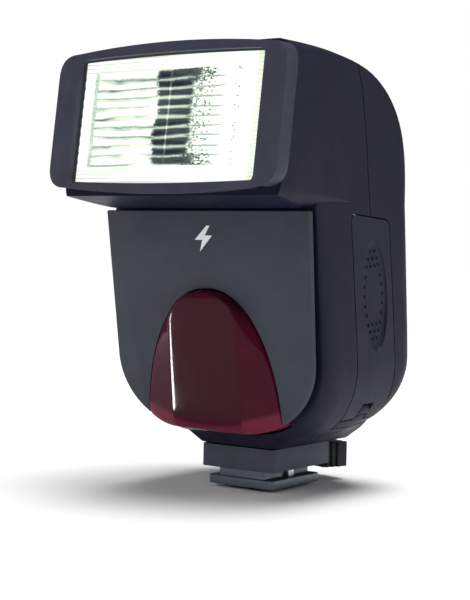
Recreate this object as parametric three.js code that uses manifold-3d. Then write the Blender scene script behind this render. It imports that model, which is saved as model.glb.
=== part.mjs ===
// Compact shoe-mount flash: fixed lamp head over a leaning body, side battery door, locking shoe foot.
// Millimetres, +Z up, the lamp faces -Y, symmetric shells about X = 0.
// The origin is the centre of the foot's underside, at its middle contact.
import * as THREE from "three";
import { mergeVertices } from "three/addons/utils/BufferGeometryUtils.js";
import Module from "manifold-3d";

const wasm = await Module();
wasm.setup();

// ---- driving dimensions -------------------------------------------------------------------
const GAP = 0.35; // clearance between neighbouring pieces
const WALL = 1.8; // shell thickness

const BODY = {
  bottom: 12.5, // underside of the shells
  side: 29.2, // half-width of the side walls
  topSide: 28.6, // half-width of the side walls at the head
  front: 27.9, // half-width where the front face starts to round
  sideRound: { x: 15, z: 18, top: 30.5 }, // lower corner seen from behind
  frontRound: { x: 19, z: 17, top: 30.7 }, // lower corner seen from the front
  rear: 22, // rear wall at the top of its lower round
  rearRound: { y: 3, z: 20.7, top: 30.5 },
  rearLean: 0.05, // the back leans forward by this much per mm of height
  edge: 7, // length of the front corner's round along Y
  rearEdge: 8, // radius of the upright rear corners, which grows towards the bottom
  rearSpread: 17,
  lip: { y: 3, z: 5.5 }, // round under the front face
};
const CROWN = { y: -34, z: 66, depth: 54.2, rise: 33.4, power: 3.1 }; // curve over the back of the head
const FRONT = { y: -22.2, z: 32, lean: 0.119, step: 3.2 }; // cover panel's face, and the shell behind it
const PANEL = {
  half: 27.3,
  topHalf: 28.2,
  round: { x: 19, z: 16.7, top: 30.7 }, // lower corner seen from the front
  bottom: 14,
  top: 63.8,
  thick: 2,
  neck: 1.2, // inset of the step behind the plate
};
const HEAD = {
  half: 29.6,
  rearHalf: 28.6,
  y: -34.2,
  lean: -0.14,
  under: 66.6,
  neckUnder: 64.3,
  taperTo: -6,
  round: 4.5,
};
const BEZEL = { half: 31.1, y: -38.6, lean: -0.14, bottom: 67.6, top: 99.3, depth: 4.6, cheek: 26.8 };
const LENS = { half: 25.4, bottom: 69.4, top: 97, thick: 1.6, recess: 1.9 };
const WINDOW = { top: 46.1, bottom: 13.9, plateau: 9.5, proud: 2.4, rim: 0.35, wide: 18.6 };
const DOOR = { y: 0.45, z: 46.5, lean: 5.5, half: 8.1, topFront: 17.8, topRear: 15.1, round: 2, inner: 21 };
const HINGE = { x: 24, y: 3.08, z: 19.4, barrel: 1.4, pin: 0.6, sweep: 2.85, eye: 2 };
const SPRING = { tip: 22.6, face: 24.1, thick: 0.7 }; // contact plates at the cells' ends
const CELL = { radius: 5.1, length: 44.5, pitch: 10.45, mid: -4.4 };
const BACK = { y: 21.21, z: 48, lean: 2.86, half: 20, low: -17, high: 16 };
const BUTTON = { z: -3.6, w: 6.4, h: 3.6, proud: 0.8, xs: [-13.2, -4.4, 4.4, 13.2] };
const FOOT = { half: 9.3, length: 20, plate: 2, neck: 6.25, neckTop: 3.85 };
const BLOCK = { half: 10.3, front: -11.4, rear: 16, bottom: 4.2, top: 9.45 };
const COLLAR = [
  [9.8, 11.4, -11.5, 20.4],
  [11, 13, -12, 20.5],
  [12.3, 14.8, -12.4, 20.6],
  [13.6, 16.1, -12.9, 20.8],
  [15.4, 17.4, -12.8, 20.9],
  [17, 17.2, -12.6, 20.9],
]; // flare of the shells down to the block: height, half-width, front, rear
const LEVER = { inner: 16.35, outer: 23.4, half: 26, bottom: 2.4, top: 8.4 }; // half in degrees
const ARM = { half: 5, low: 5.7, high: 6.8 }; // the lever's flat arm inside the block
const LOCK_PIN = { y: -7.4, radius: 1 };
const CONTACTS = [
  ["centre_contact", 0, 0],
  ["data_contact_left", -4, 4.6],
  ["data_contact_middle", 0, 5.4],
  ["data_contact_right", 4, 4.6],
];

// ---- materials ----------------------------------------------------------------------------
const finish = (color, roughness, metalness = 0, more = {}) =>
  new THREE.MeshStandardMaterial({ color, roughness, metalness, ...more });
const MATERIAL = {
  shell: finish(0x2b2a33, 0.55),
  panel: finish(0x44474f, 0.4),
  red: finish(0x3c1220, 0.1, 0, { transparent: true, opacity: 0.92 }),
  lens: finish(0xe9f1ec, 0.15, 0, { transparent: true, opacity: 0.7 }),
  mirror: finish(0xd9dce0, 0.15, 1),
  glass: finish(0xdfe8ee, 0.05, 0, { transparent: true, opacity: 0.5 }),
  black: finish(0x17171b, 0.6),
  rubber: finish(0x222226, 0.85),
  steel: finish(0xa9adb3, 0.3, 1),
  brass: finish(0xc9a04e, 0.3, 1),
  board: finish(0x1f5a3a, 0.5),
  cell: finish(0x8c939b, 0.35, 0.6),
  copper: finish(0x9a5b2e, 0.45, 0.3),
  screen: finish(0x8f9a86, 0.3),
};

// ---- geometry helpers ---------------------------------------------------------------------
const rad = THREE.MathUtils.degToRad;
const I = new THREE.Matrix4();

// A closed geometry as a solid, moved by a matrix.
function solid(geometry, matrix = I) {
  const g = geometry.clone().applyMatrix4(matrix);
  for (const name of ["normal", "uv"]) g.deleteAttribute(name);
  const m = mergeVertices(g, 1e-4);
  return new wasm.Manifold(
    new wasm.Mesh({
      numProp: 3,
      vertProperties: m.attributes.position.array,
      triVerts: new Uint32Array(m.index.array),
    }),
  );
}

function geometryOf(body) {
  const m = body.getMesh();
  const points = new Float32Array(m.numVert * 3);
  for (let i = 0; i < m.numVert; i++) {
    points.set(m.vertProperties.subarray(i * m.numProp, i * m.numProp + 3), i * 3);
  }
  const g = new THREE.BufferGeometry();
  g.setAttribute("position", new THREE.BufferAttribute(points, 3));
  g.setIndex(new THREE.BufferAttribute(new Uint32Array(m.triVerts), 1));
  g.computeVertexNormals();
  return g;
}

const all = (first, ...rest) => rest.reduce((sum, s) => sum.add(s), first);
const less = (first, ...rest) => rest.reduce((left, s) => left.subtract(s), first);
const common = (first, ...rest) => rest.reduce((sum, s) => sum.intersect(s), first);
const biggest = (s) => s.decompose().sort((a, b) => b.volume() - a.volume())[0];

const box = (x0, x1, y0, y1, z0, z1) =>
  new THREE.BoxGeometry(x1 - x0, y1 - y0, z1 - z0).translate((x0 + x1) / 2, (y0 + y1) / 2, (z0 + z1) / 2);

// Cylinders between two planes: along X about (y, z), along Y about (x, z), along Z about (x, y).
const rodX = (r, x0, x1, y, z, n = 20) =>
  new THREE.CylinderGeometry(r, r, x1 - x0, n).rotateZ(-Math.PI / 2).translate((x0 + x1) / 2, y, z);
const rodY = (r, y0, y1, x, z, n = 20) =>
  new THREE.CylinderGeometry(r, r, y1 - y0, n).translate(x, (y0 + y1) / 2, z);
const rodZ = (r, z0, z1, x, y, n = 20) =>
  new THREE.CylinderGeometry(r, r, z1 - z0, n).rotateX(Math.PI / 2).translate(x, y, (z0 + z1) / 2);

// Prisms of a 2-D outline: (y, z) along X, (x, z) along Y, (x, y) along Z.
const prism = (shape, depth, steps) =>
  new THREE.ExtrudeGeometry(shape, { depth, bevelEnabled: false, curveSegments: steps });
const ALONG_X = new THREE.Matrix4().set(0, 0, 1, 0, 1, 0, 0, 0, 0, 1, 0, 0, 0, 0, 0, 1);
const prismX = (shape, x0, x1, steps = 6) =>
  prism(shape, x1 - x0, steps).applyMatrix4(ALONG_X).translate(x0, 0, 0);
const prismY = (shape, y0, y1, steps = 6) =>
  prism(shape, y1 - y0, steps).rotateX(Math.PI / 2).translate(0, y1, 0);
const prismZ = (shape, z0, z1, steps = 6) => prism(shape, z1 - z0, steps).translate(0, 0, z0);

const polygon = (...points) => new THREE.Shape(points.map(([a, b]) => new THREE.Vector2(a, b)));

function roundRect(a0, a1, b0, b1, r) {
  const s = new THREE.Shape();
  s.absarc(a1 - r, b0 + r, r, -Math.PI / 2, 0);
  s.absarc(a1 - r, b1 - r, r, 0, Math.PI / 2);
  s.absarc(a0 + r, b1 - r, r, Math.PI / 2, Math.PI);
  s.absarc(a0 + r, b0 + r, r, Math.PI, Math.PI * 1.5);
  return s;
}

// A frame that leans about X, for the door and for the back's controls.
const leaning = (y, z, degrees) =>
  new THREE.Matrix4().makeTranslation(0, y, z).multiply(new THREE.Matrix4().makeRotationX(rad(degrees)));
const DOOR_FRAME = leaning(DOOR.y, DOOR.z, DOOR.lean);
const BACK_FRAME = leaning(BACK.y, BACK.z, BACK.lean);

// A shape's outline as one ring of points at a height.
const ringOf = (shape, z, steps = 6) => shape.extractPoints(steps).shape.map((p) => [p.x, p.y, z]);

// A closed skin over a stack of rings with the same number of points, ordered anticlockwise from above.
function loft(rings) {
  const n = rings[0].length;
  const points = rings.flat();
  const last = (rings.length - 1) * n;
  const index = [];
  for (let k = 0; k < rings.length - 1; k++) {
    for (let i = 0; i < n; i++) {
      const a = k * n + i;
      const b = k * n + ((i + 1) % n);
      index.push(a, b, b + n, a, b + n, a + n);
    }
  }
  const middle = (ring) => ring.reduce((sum, p) => sum.map((v, i) => v + p[i] / n), [0, 0, 0]);
  points.push(middle(rings[0]), middle(rings[rings.length - 1]));
  for (let i = 0; i < n; i++) {
    const j = (i + 1) % n;
    index.push(points.length - 2, j, i, points.length - 1, last + i, last + j);
  }
  const g = new THREE.BufferGeometry();
  g.setAttribute("position", new THREE.BufferAttribute(new Float32Array(points.flat()), 3));
  g.setIndex(index);
  return g;
}

// ---- shell surfaces -----------------------------------------------------------------------
const quarter = (t, power = 2) => Math.max(0, 1 - Math.max(0, Math.min(1, t)) ** power) ** (1 / power);
const panelFace = (z) => FRONT.y - FRONT.lean * (z - FRONT.z);

// Half-width under a lower corner, for a wall at `full`, inset by t.
const cornerHalf = (full, round, z, t) =>
  full - round.x + (round.x - t) * quarter((round.top - z) / (round.z - t));

function rearFace(z, t) {
  const { y, z: depth, top } = BODY.rearRound;
  if (z < top) return BODY.rear - y + (y - t) * quarter((top - z) / (depth - t));
  if (z < CROWN.z) return BODY.rear - BODY.rearLean * (z - top) - t;
  return CROWN.y + (CROWN.depth - t) * quarter((z - CROWN.z) / (CROWN.rise - t), CROWN.power);
}

// One horizontal section of the body, inset by t.
function bodySection(z, t, steps) {
  const ease = Math.min(1, Math.max(0, (z - 36) / (CROWN.z - 36)));
  const crest = quarter((z - CROWN.z - CROWN.rise + HEAD.round) / (HEAD.round - t));
  const full = BODY.side + (BODY.topSide - BODY.side) * ease - HEAD.round * (1 - crest);
  const side = cornerHalf(full, BODY.sideRound, z, t);
  const front = Math.min(side - 0.4, cornerHalf(BODY.front, BODY.frontRound, z, t));
  const lip = BODY.lip.y * (1 - quarter((BODY.bottom + t + BODY.lip.z - z) / BODY.lip.z));
  const y0 = panelFace(Math.min(z, PANEL.top)) + FRONT.step + t + lip;
  const y1 = rearFace(z, t);
  const low = 1 - quarter((BODY.sideRound.top - z) / BODY.sideRound.z);
  const r = Math.min(BODY.rearEdge + BODY.rearSpread * low - t, side - 2);
  const right = [];
  for (let i = 0; i <= steps; i++) {
    const a = (i / steps) * (Math.PI / 2);
    right.push([front + (side - front) * Math.sin(a), y0 + BODY.edge * (1 - Math.cos(a)), z]);
  }
  for (let i = 0; i <= steps; i++) {
    const a = (i / steps) * (Math.PI / 2);
    right.push([side - r + r * Math.cos(a), y1 - r + r * Math.sin(a), z]);
  }
  const left = right.map(([x, y, h]) => [-x, y, h]).reverse();
  return [...right, ...left];
}

function bodySolid(t) {
  const levels = [];
  for (const a of [0, 13, 22, 32, 42, 52, 62, 75]) {
    levels.push(BODY.sideRound.top - (BODY.sideRound.z - t) * Math.cos(rad(a)));
  }
  levels.push(BODY.frontRound.top, 36, 52, PANEL.top, CROWN.z);
  for (const a of [18, 32, 44, 55, 64, 70, 74, 77]) {
    levels.push(CROWN.z + (CROWN.rise - t) * Math.sin(rad(a)));
  }
  return solid(loft(levels.map((z) => bodySection(z, t, 4))));
}

// The head's box: side outline, front outline and tapering plan, all inset by t.
function headSolid(t) {
  const face = (z) => HEAD.y + HEAD.lean * (BEZEL.top - z) + t;
  const crown = [];
  for (const a of [88, 84, 79, 73, 66]) {
    const z = CROWN.z + (CROWN.rise - t) * Math.sin(rad(a));
    crown.push([Math.min(rearFace(z, t), HEAD.taperTo - t), z]);
  }
  const top = crown[0][1];
  const under = HEAD.under + t;
  const neck = HEAD.neckUnder + t;
  const side = polygon(
    [face(top), top], [face(under), under], [-26, neck], [HEAD.taperTo - t, neck], ...crown.reverse(),
  );
  const front = roundRect(-HEAD.half + t, HEAD.half - t, HEAD.neckUnder + t, top, HEAD.round - t);
  const plan = polygon(
    [-HEAD.half + t, -40], [HEAD.half - t, -40], [HEAD.half - t, HEAD.y],
    [HEAD.rearHalf - t, HEAD.taperTo], [HEAD.rearHalf - t, 30],
    [-HEAD.rearHalf + t, 30], [-HEAD.rearHalf + t, HEAD.taperTo], [-HEAD.half + t, HEAD.y],
  );
  return common(solid(prismX(side, -35, 35)), solid(prismY(front, -45, 35)), solid(prismZ(plan, 50, 110)));
}

// The flare under the body that narrows to the foot block.
function collarSolid(t) {
  const rings = COLLAR.map(([z, half, front, rear], k) =>
    ringOf(roundRect(-half + t, half - t, front + t, rear - t, 2.5), k ? z : z + t),
  );
  return solid(loft(t ? [rings[0], ...rings.slice(2)] : rings));
}

const shellSolid = (t) => all(bodySolid(t), headSolid(t), collarSolid(t));
const OUTER = shellSolid(0);
const INNER = shellSolid(WALL);
const ROOM = shellSolid(WALL + GAP); // space that loose pieces may fill

// Everything behind (or in front of) the parting line of the two shell halves, shifted by d.
function partingCut(d, behind) {
  const line = [
    [-11.5, 110], [-10.4, 97.8], [-7.7, 96], [-5.6, 91.3], [-3.5, 80], [-1.2, 63.6], [2.6, 36], [2.6, 0],
  ];
  const far = behind ? 60 : -60;
  return solid(prismX(polygon(...line.map(([y, z]) => [y + d, z]), [far, 0], [far, 110]), -40, 40));
}

// The door's outline in its leaning frame, grown by g.
function doorPrism(g, x0, x1, low = -40) {
  const { half, topFront, topRear, round } = DOOR;
  const s = new THREE.Shape();
  s.moveTo(-half - g, low);
  s.lineTo(half + g, low);
  s.lineTo(half + g, topRear - round);
  s.quadraticCurveTo(half + g, topRear + g, half - round, topRear + g + 0.17 * round);
  s.lineTo(-half + round, topFront + g - 0.17 * round);
  s.quadraticCurveTo(-half - g, topFront + g, -half - g, topFront - round);
  return solid(prismX(s, x0, x1), DOOR_FRAME);
}
const aboutHinge = (r, from, to, n = 24) =>
  solid(rodY(r, HINGE.y + from, HINGE.y + to, HINGE.x, HINGE.z, n));
const inDoorFrame = (...limits) => solid(box(...limits), DOOR_FRAME);

const footScrewSpots = [[-7, -6.5], [7, -6.5], [-7, 9.5], [7, 9.5]];
const footBores = (r, z0, z1) => footScrewSpots.map(([x, y]) => solid(rodZ(r, z0, z1, x, y, 12)));

// ---- shells -------------------------------------------------------------------------------
function windowHalf(z) {
  const t = (z - WINDOW.bottom) / (WINDOW.top - WINDOW.bottom);
  return WINDOW.wide * quarter(t) ** 0.95;
}

// The AF window's outline seen from the front, grown by g.
function windowOutline(g, low = 5) {
  const right = [[WINDOW.wide + g, low]];
  for (const t of [0, 0.15, 0.3, 0.45, 0.6, 0.72, 0.83, 0.91, 0.97, 0.99]) {
    const z = WINDOW.bottom + t * (WINDOW.top - WINDOW.bottom);
    right.push([windowHalf(z) + g, z + g * t]);
  }
  return polygon(...right, ...right.map(([x, z]) => [-x, z]).reverse());
}

function frontHousing() {
  const wall = less(OUTER, INNER).subtract(partingCut(-GAP / 2, true));
  return less(
    wall,
    solid(prismY(roundRect(-26.6, 26.6, 69, 97, 2), -45, -31)), // open lamp end
    solid(prismY(windowOutline(GAP, WINDOW.bottom - GAP), -40, -10)),
    doorPrism(GAP, DOOR.inner, 40),
    ...footBores(1.3, 5, 20).slice(0, 2),
  );
}

function rearHousing() {
  const wall = less(OUTER, INNER).subtract(partingCut(GAP / 2, false));
  const frame = roundRect(-BACK.half - GAP, BACK.half + GAP, BACK.low - GAP, BACK.high + GAP, 3);
  return less(
    wall,
    solid(prismY(frame, -8, 8), BACK_FRAME),
    doorPrism(GAP, DOOR.inner, 40),
    ...footBores(1.3, 5, 20).slice(2),
  );
}

const panelHalf = (z, t = 0) => cornerHalf(PANEL.half, PANEL.round, z, t);

function frontPanel() {
  const level = (t, low, high) => {
    const right = [];
    for (const a of [0, 12, 24, 36, 48, 60, 75, 90]) {
      const z = low + (PANEL.round.z - t) * (1 - Math.cos(rad(a)));
      right.push([panelHalf(z, t), z]);
    }
    right.push([PANEL.topHalf - t, high]);
    return polygon(...right, ...right.map(([x, z]) => [-x, z]).reverse());
  };
  const slab = (back, front) => {
    const at = (z, d) => [panelFace(z) + d, z];
    return solid(prismX(polygon(at(10, front), at(10, back), at(70, back), at(70, front)), -35, 35));
  };
  const plate = common(solid(prismY(level(0, PANEL.bottom, PANEL.top), -40, 0)), slab(PANEL.thick, 0));
  const neckBottom = PANEL.bottom + PANEL.neck;
  const neckShape = level(PANEL.neck, neckBottom, PANEL.top - PANEL.neck);
  const neck = common(solid(prismY(neckShape, -40, 0)), slab(FRONT.step - GAP, PANEL.thick - 0.5));
  return less(all(plate, neck), solid(prismY(windowOutline(GAP), -40, -5)));
}

// Dark red lamp cover: a raised flat plateau with flanks that widen downwards and a rounded foot.
function afWindow() {
  const rings = [];
  for (const t of [0, 0.04, 0.1, 0.2, 0.35, 0.5, 0.65, 0.76, 0.85, 0.92, 0.97, 0.99]) {
    const z = WINDOW.bottom + t * (WINDOW.top - WINDOW.bottom);
    const half = windowHalf(z);
    const foot = quarter((0.12 - t) / 0.12);
    const brow = quarter((t - 0.8) / 0.17, 2.5);
    const edge = panelFace(z) - WINDOW.rim;
    const face = panelFace(z) - WINDOW.rim - WINDOW.proud * Math.min(brow, 0.25 + 0.75 * foot);
    const flat = Math.min(WINDOW.plateau, half - 0.6) * (0.55 + 0.45 * brow);
    const back = panelFace(z) + 6.4;
    rings.push([
      [-half, edge, z], [-flat, face, z], [flat, face, z], [half, edge, z], [half, back, z], [-half, back, z],
    ]);
  }
  const floor = [];
  for (const a of [0, 15, 30, 45, 60, 75]) {
    const z = PANEL.bottom - 0.3 + (PANEL.round.z + 0.3) * (1 - Math.cos(rad(a)));
    floor.push([panelHalf(z) + 0.3, z]);
  }
  const outline = polygon(...floor, [30, 60], [-30, 60], ...floor.map(([x, z]) => [-x, z]).reverse());
  return less(
    common(solid(loft(rings)), solid(prismY(outline, -40, -5))),
    solid(box(-7.5, 7.5, -21, -10, 21, 38)),
  );
}

// ---- lamp head ----------------------------------------------------------------------------
const bezelFace = (z, d = 0) => BEZEL.y + BEZEL.lean * (BEZEL.top - z) + d;

// A leaning slab parallel to the bezel's face, between two depths behind it.
function headSlab(near, far) {
  const at = (z, d) => [bezelFace(z, d), z];
  return solid(prismX(polygon(at(60, near), at(60, far), at(105, far), at(105, near)), -40, 40));
}

// A rounded outline whose top and bottom edges arch by `rise`.
function archedRect(half, low, high, r, rise) {
  const s = new THREE.Shape();
  s.moveTo(-half + r, low);
  s.quadraticCurveTo(0, low - 2 * rise, half - r, low);
  s.quadraticCurveTo(half, low, half, low + r);
  s.lineTo(half, high - r);
  s.quadraticCurveTo(half, high, half - r, high);
  s.quadraticCurveTo(0, high + 2 * rise, -half + r, high);
  s.quadraticCurveTo(-half, high, -half, high - r);
  s.lineTo(-half, low + r);
  s.quadraticCurveTo(-half, low, -half + r, low);
  return s;
}

// Leans an upright shape to the slope of the bezel's face.
const withFace = new THREE.Matrix4().set(
  1, 0, 0, 0, 0, 1, -BEZEL.lean, BEZEL.lean * BEZEL.top, 0, 0, 1, 0, 0, 0, 0, 1,
);

function flashBezel() {
  const outline = archedRect(BEZEL.half, BEZEL.bottom + 0.7, BEZEL.top - 0.9, 5, 1.4);
  const side = BEZEL.half + 0.5;
  const cheeks = polygon(
    [-BEZEL.cheek, -50], [BEZEL.cheek, -50], [BEZEL.cheek, BEZEL.y - 2.2], [side, BEZEL.y],
    [side, -20], [-side, -20], [-side, BEZEL.y], [-BEZEL.cheek, BEZEL.y - 2.2],
  );
  const frame = common(
    solid(prismY(outline, -50, -20)),
    headSlab(0, BEZEL.depth - GAP),
    solid(prismZ(cheeks, 50, 110), withFace),
  );
  const opening = archedRect(LENS.half, LENS.bottom, LENS.top, 1.4, 0.5);
  const seat = archedRect(HEAD.half - 2.2, LENS.bottom - 1.2, LENS.top + 1.2, 1.4, 0.5);
  return less(
    frame,
    solid(prismY(opening, -50, -20)),
    common(solid(prismY(seat, -50, -20)), headSlab(LENS.recess, 12)),
  );
}

const flashLens = () =>
  common(
    solid(prismY(archedRect(26.4, LENS.bottom - 0.7, LENS.top + 0.7, 1.2, 0.5), -50, -20)),
    headSlab(LENS.recess + GAP, LENS.recess + GAP + LENS.thick),
  );

const LAMP = { z: 83.2, mouthY: -38, tubeY: -23.5, half: 24, mouth: 12.6, sheet: 0.6 };

// A sheet-metal trough behind the lens, with flat ends that carry the tube.
function reflector() {
  const trough = (g) => {
    const s = new THREE.Shape();
    const { z, mouthY, tubeY, mouth } = LAMP;
    s.moveTo(mouthY, z - mouth - g);
    s.quadraticCurveTo(tubeY + 2, z - mouth - g, tubeY + 5 + g, z);
    s.quadraticCurveTo(tubeY + 2, z + mouth + g, mouthY, z + mouth + g);
    return s;
  };
  const { sheet, half, tubeY, z } = LAMP;
  return less(
    solid(prismX(trough(sheet), -half - sheet, half + sheet, 8)),
    solid(prismX(trough(0), -half, half, 8)),
    headSlab(-20, LENS.recess + LENS.thick + 2 * GAP),
    solid(rodX(2.2, -40, 40, tubeY, z, 16)),
  );
}

const flashTube = () =>
  all(
    solid(rodX(1.5, -25.6, 25.6, LAMP.tubeY, LAMP.z, 16)),
    solid(rodX(0.7, -27, -25.5, LAMP.tubeY, LAMP.z, 10)),
    solid(rodX(0.7, 25.5, 27, LAMP.tubeY, LAMP.z, 10)),
  );
const tubeSleeve = (side) => {
  const [a, b] = [LAMP.half + LAMP.sheet + GAP, 26.6].map((v) => v * side).sort((p, q) => p - q);
  return less(
    solid(rodX(3.4, a, b, LAMP.tubeY, LAMP.z, 16)),
    solid(rodX(1.8, -40, 40, LAMP.tubeY, LAMP.z, 16)),
  );
};

// ---- battery door -------------------------------------------------------------------------
function batteryDoor() {
  const wall = common(less(OUTER, INNER), doorPrism(0, DOOR.inner, 40));
  const tip = solid(box(10, HINGE.x, -15, 20, 0, HINGE.z + 1.6));
  const grip = new THREE.Shape().absellipse(0.6, -1.2, 5.2, 12.8, 0, Math.PI * 2);
  const dish = solid(prismX(grip, 28.55, 40, 10), DOOR_FRAME);
  const rib = (w) => inDoorFrame(SPRING.face + SPRING.thick + GAP, 27.9, -5, 5, w - 0.5, w + 0.5);
  const posts = [-12, 8].map(rib);
  const barrel = aboutHinge(HINGE.barrel, -DOOR.half + 0.3, DOOR.half - 0.3);
  return less(
    all(less(wall, tip, dish), barrel, ...posts),
    aboutHinge(HINGE.pin + 0.3, -DOOR.half + 0.8, 12, 16),
    aboutHinge(HINGE.sweep, -HINGE.eye - GAP, HINGE.eye + GAP),
  );
}

// The sliding hinge base: it fills the lower corner below the door and carries the pin in one eye.
function doorSlider() {
  const half = DOOR.half - 0.1;
  const below = solid(box(0, 40, -20, 30, 0, HINGE.z));
  const cap = less(
    common(OUTER, below, inDoorFrame(DOOR.inner + GAP, HINGE.x - 0.6, -half, half, -45, 0)),
    aboutHinge(HINGE.sweep, -20, 20, 32),
  );
  const eye = aboutHinge(1.7, -HINGE.eye, HINGE.eye);
  const web = common(OUTER, solid(box(22.4, 24.4, HINGE.y - HINGE.eye, HINGE.y + HINGE.eye, 0, HINGE.z)));
  return less(all(cap, eye, web), aboutHinge(HINGE.pin + 0.15, -20, 20, 16));
}
const hingePin = () => aboutHinge(HINGE.pin, -DOOR.half + 1.3, DOOR.half - 0.7, 16);

function contactPlate(side) {
  const { tip, face, thick } = SPRING;
  const [a, b] = side > 0 ? [face, face + thick] : [-face - thick, -face];
  const plate = inDoorFrame(a, b, -4.8, 4.8, CELL.mid - 18, CELL.mid + 19);
  const bumps = [-1.5, -0.5, 0.5, 1.5].map((k) => {
    const bump = new THREE.CylinderGeometry(1.2, 2.2, face - tip + 0.1, 12).rotateZ((side * Math.PI) / 2);
    bump.translate((side * (tip + face + 0.1)) / 2, 0, CELL.mid + k * CELL.pitch);
    return solid(bump, DOOR_FRAME);
  });
  return common(all(plate, ...bumps), side > 0 ? inDoorFrame(0, 40, -9, 9, -40, 40) : ROOM);
}

// ---- batteries ----------------------------------------------------------------------------
function batteryCradle() {
  const reach = 2 * CELL.pitch + 0.3;
  const tray = less(
    inDoorFrame(-26, 20, -6.8, 6.8, CELL.mid - reach - 1.1, CELL.mid + reach + 1.1),
    inDoorFrame(-24.9, 40, -5.6, 5.6, CELL.mid - reach, CELL.mid + reach),
    inDoorFrame(-14, 10, 4, 12, CELL.mid - 14, CELL.mid + 14),
  );
  return common(tray, ROOM);
}

// An AAA cell along X, its raised pole at the given end.
function batteryCell(side) {
  const half = CELL.length / 2;
  const profile = [
    [0, -half], [4.6, -half], [CELL.radius, -half + 0.5], [CELL.radius, half - 1.7],
    [4.7, half - 1.2], [1.9, half - 1.2], [1.9, half - 0.1], [0, half - 0.1],
  ];
  const lathe = new THREE.LatheGeometry(profile.map(([r, y]) => new THREE.Vector2(r, y)), 20);
  return solid(lathe.rotateZ((-side * Math.PI) / 2));
}

// ---- controls on the back -----------------------------------------------------------------
const LCD = { half: 13, low: 2.2, high: 12.6 };
const TEST = { x: 12.6, z: -11.6, radius: 3.1 };
const SWITCH = { x: -9.4, z: -11.6, half: 2.6, high: 1.9, travel: 4 };
const LAMP_SPOT = { x: 3.6, z: -11.6, radius: 1.4 };

function controlPanel() {
  const plate = solid(prismY(roundRect(-BACK.half, BACK.half, BACK.low, BACK.high, 2.7), -WALL, 0));
  const holes = BUTTON.xs.map((x) => {
    const [w, h] = [BUTTON.w / 2 + GAP, BUTTON.h / 2 + GAP];
    return solid(prismY(roundRect(x - w, x + w, BUTTON.z - h, BUTTON.z + h, 1.2), -5, 5));
  });
  const slot = SWITCH.half + SWITCH.travel / 2 - 1 + GAP;
  return less(
    plate,
    ...holes,
    solid(prismY(roundRect(-LCD.half - GAP, LCD.half + GAP, LCD.low - GAP, LCD.high + GAP, 1), -5, 5)),
    solid(rodY(TEST.radius + GAP, -5, 5, TEST.x, TEST.z, 24)),
    solid(rodY(LAMP_SPOT.radius + GAP, -5, 5, LAMP_SPOT.x, LAMP_SPOT.z, 16)),
    solid(box(SWITCH.x - slot, SWITCH.x + slot, -5, 5, SWITCH.z - 0.9 - GAP, SWITCH.z + 0.9 + GAP)),
  );
}

// A key cap with a retaining flange behind the panel and a stem towards its switch.
function keyCap(w, h) {
  const front = solid(prismY(roundRect(-w / 2, w / 2, -h / 2, h / 2, 0.9), -2.3, BUTTON.proud));
  const flange = solid(box(-w / 2 - 0.7, w / 2 + 0.7, -2.8, -2.15, -h / 2 - 0.5, h / 2 + 0.5));
  return all(front, flange, solid(rodY(0.9, -3.7, -2.5, 0, 0, 12)));
}

const testButton = () =>
  all(
    solid(rodY(TEST.radius, -2.3, 1, 0, 0, 24)),
    solid(rodY(TEST.radius + 0.7, -2.8, -2.15, 0, 0, 24)),
    solid(rodY(0.9, -3.7, -2.5, 0, 0, 12)),
  );

// Slide knob at its left stop: a ribbed cap over the panel, a neck through the slot and a flange behind.
function powerSwitch() {
  const cap = solid(prismY(roundRect(-SWITCH.half, SWITCH.half, -SWITCH.high, SWITCH.high, 0.8), GAP, 1.2));
  const ribs = [-1.5, 0, 1.5].map((x) => solid(box(x - 0.3, x + 0.3, 1, 1.6, -1.4, 1.4)));
  const neck = solid(box(-1.6, 1.6, -2.4, 0.6, -0.9, 0.9));
  return all(cap, ...ribs, neck, solid(box(-2.2, 2.2, -3, -2.15, -1.8, 1.8)));
}

function displayBoard() {
  const board = solid(box(-19, 19, -7.2, -6, BACK.low + 1, BACK.high - 1));
  const spots = [...BUTTON.xs.map((x) => [x, BUTTON.z]), [TEST.x, TEST.z]];
  const domes = spots.map(([x, z]) => solid(box(x - 1.7, x + 1.7, -6.1, -4.6, z - 1.7, z + 1.7)));
  const slide = solid(box(SWITCH.x - 4.4, SWITCH.x + 4.4, -6.1, -3.4, SWITCH.z - 1.8, SWITCH.z + 1.8));
  return all(board, ...domes, slide);
}

// ---- foot ---------------------------------------------------------------------------------
const footPocket = (g) => box(-6 - g, 6 + g, -2.6 - g, 7.4 + g, -5, FOOT.neckTop + 3);

function shoeFoot() {
  const outline = roundRect(-FOOT.half, FOOT.half, -FOOT.length / 2, FOOT.length / 2, 1.2);
  const plate = solid(prismZ(outline, 0, FOOT.plate));
  const neck = solid(box(-FOOT.neck - 0.9, FOOT.neck + 0.9, -9.4, 9.4, FOOT.plate - 0.5, FOOT.neckTop));
  const groove = [-1, 1].map((s) => {
    const [a, b] = [FOOT.neck * s, 12 * s].sort((p, q) => p - q);
    return solid(box(a, b, -12, 12, FOOT.plate, FOOT.neckTop + 1));
  });
  const pinHole = solid(rodZ(LOCK_PIN.radius + 0.25, -5, 10, 0, LOCK_PIN.y, 16));
  return less(all(plate, neck), ...groove, solid(footPocket(0)), pinHole);
}

function contactCarrier() {
  const slab = solid(box(-6 + GAP, 6 - GAP, -2.6 + GAP, 7.4 - GAP, 0.05, FOOT.neckTop));
  return less(slab, ...CONTACTS.map(([, x, y]) => solid(rodZ(1.15, -5, 10, x, y, 14))));
}

function contactPin() {
  const profile = [[0, -0.5], [0.5, -0.45], [0.9, -0.1], [0.9, 4.2], [1.35, 4.2], [1.35, 4.7], [0, 4.7]];
  return new THREE.LatheGeometry(profile.map(([r, z]) => new THREE.Vector2(r, z)), 14).rotateX(Math.PI / 2);
}

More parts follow.
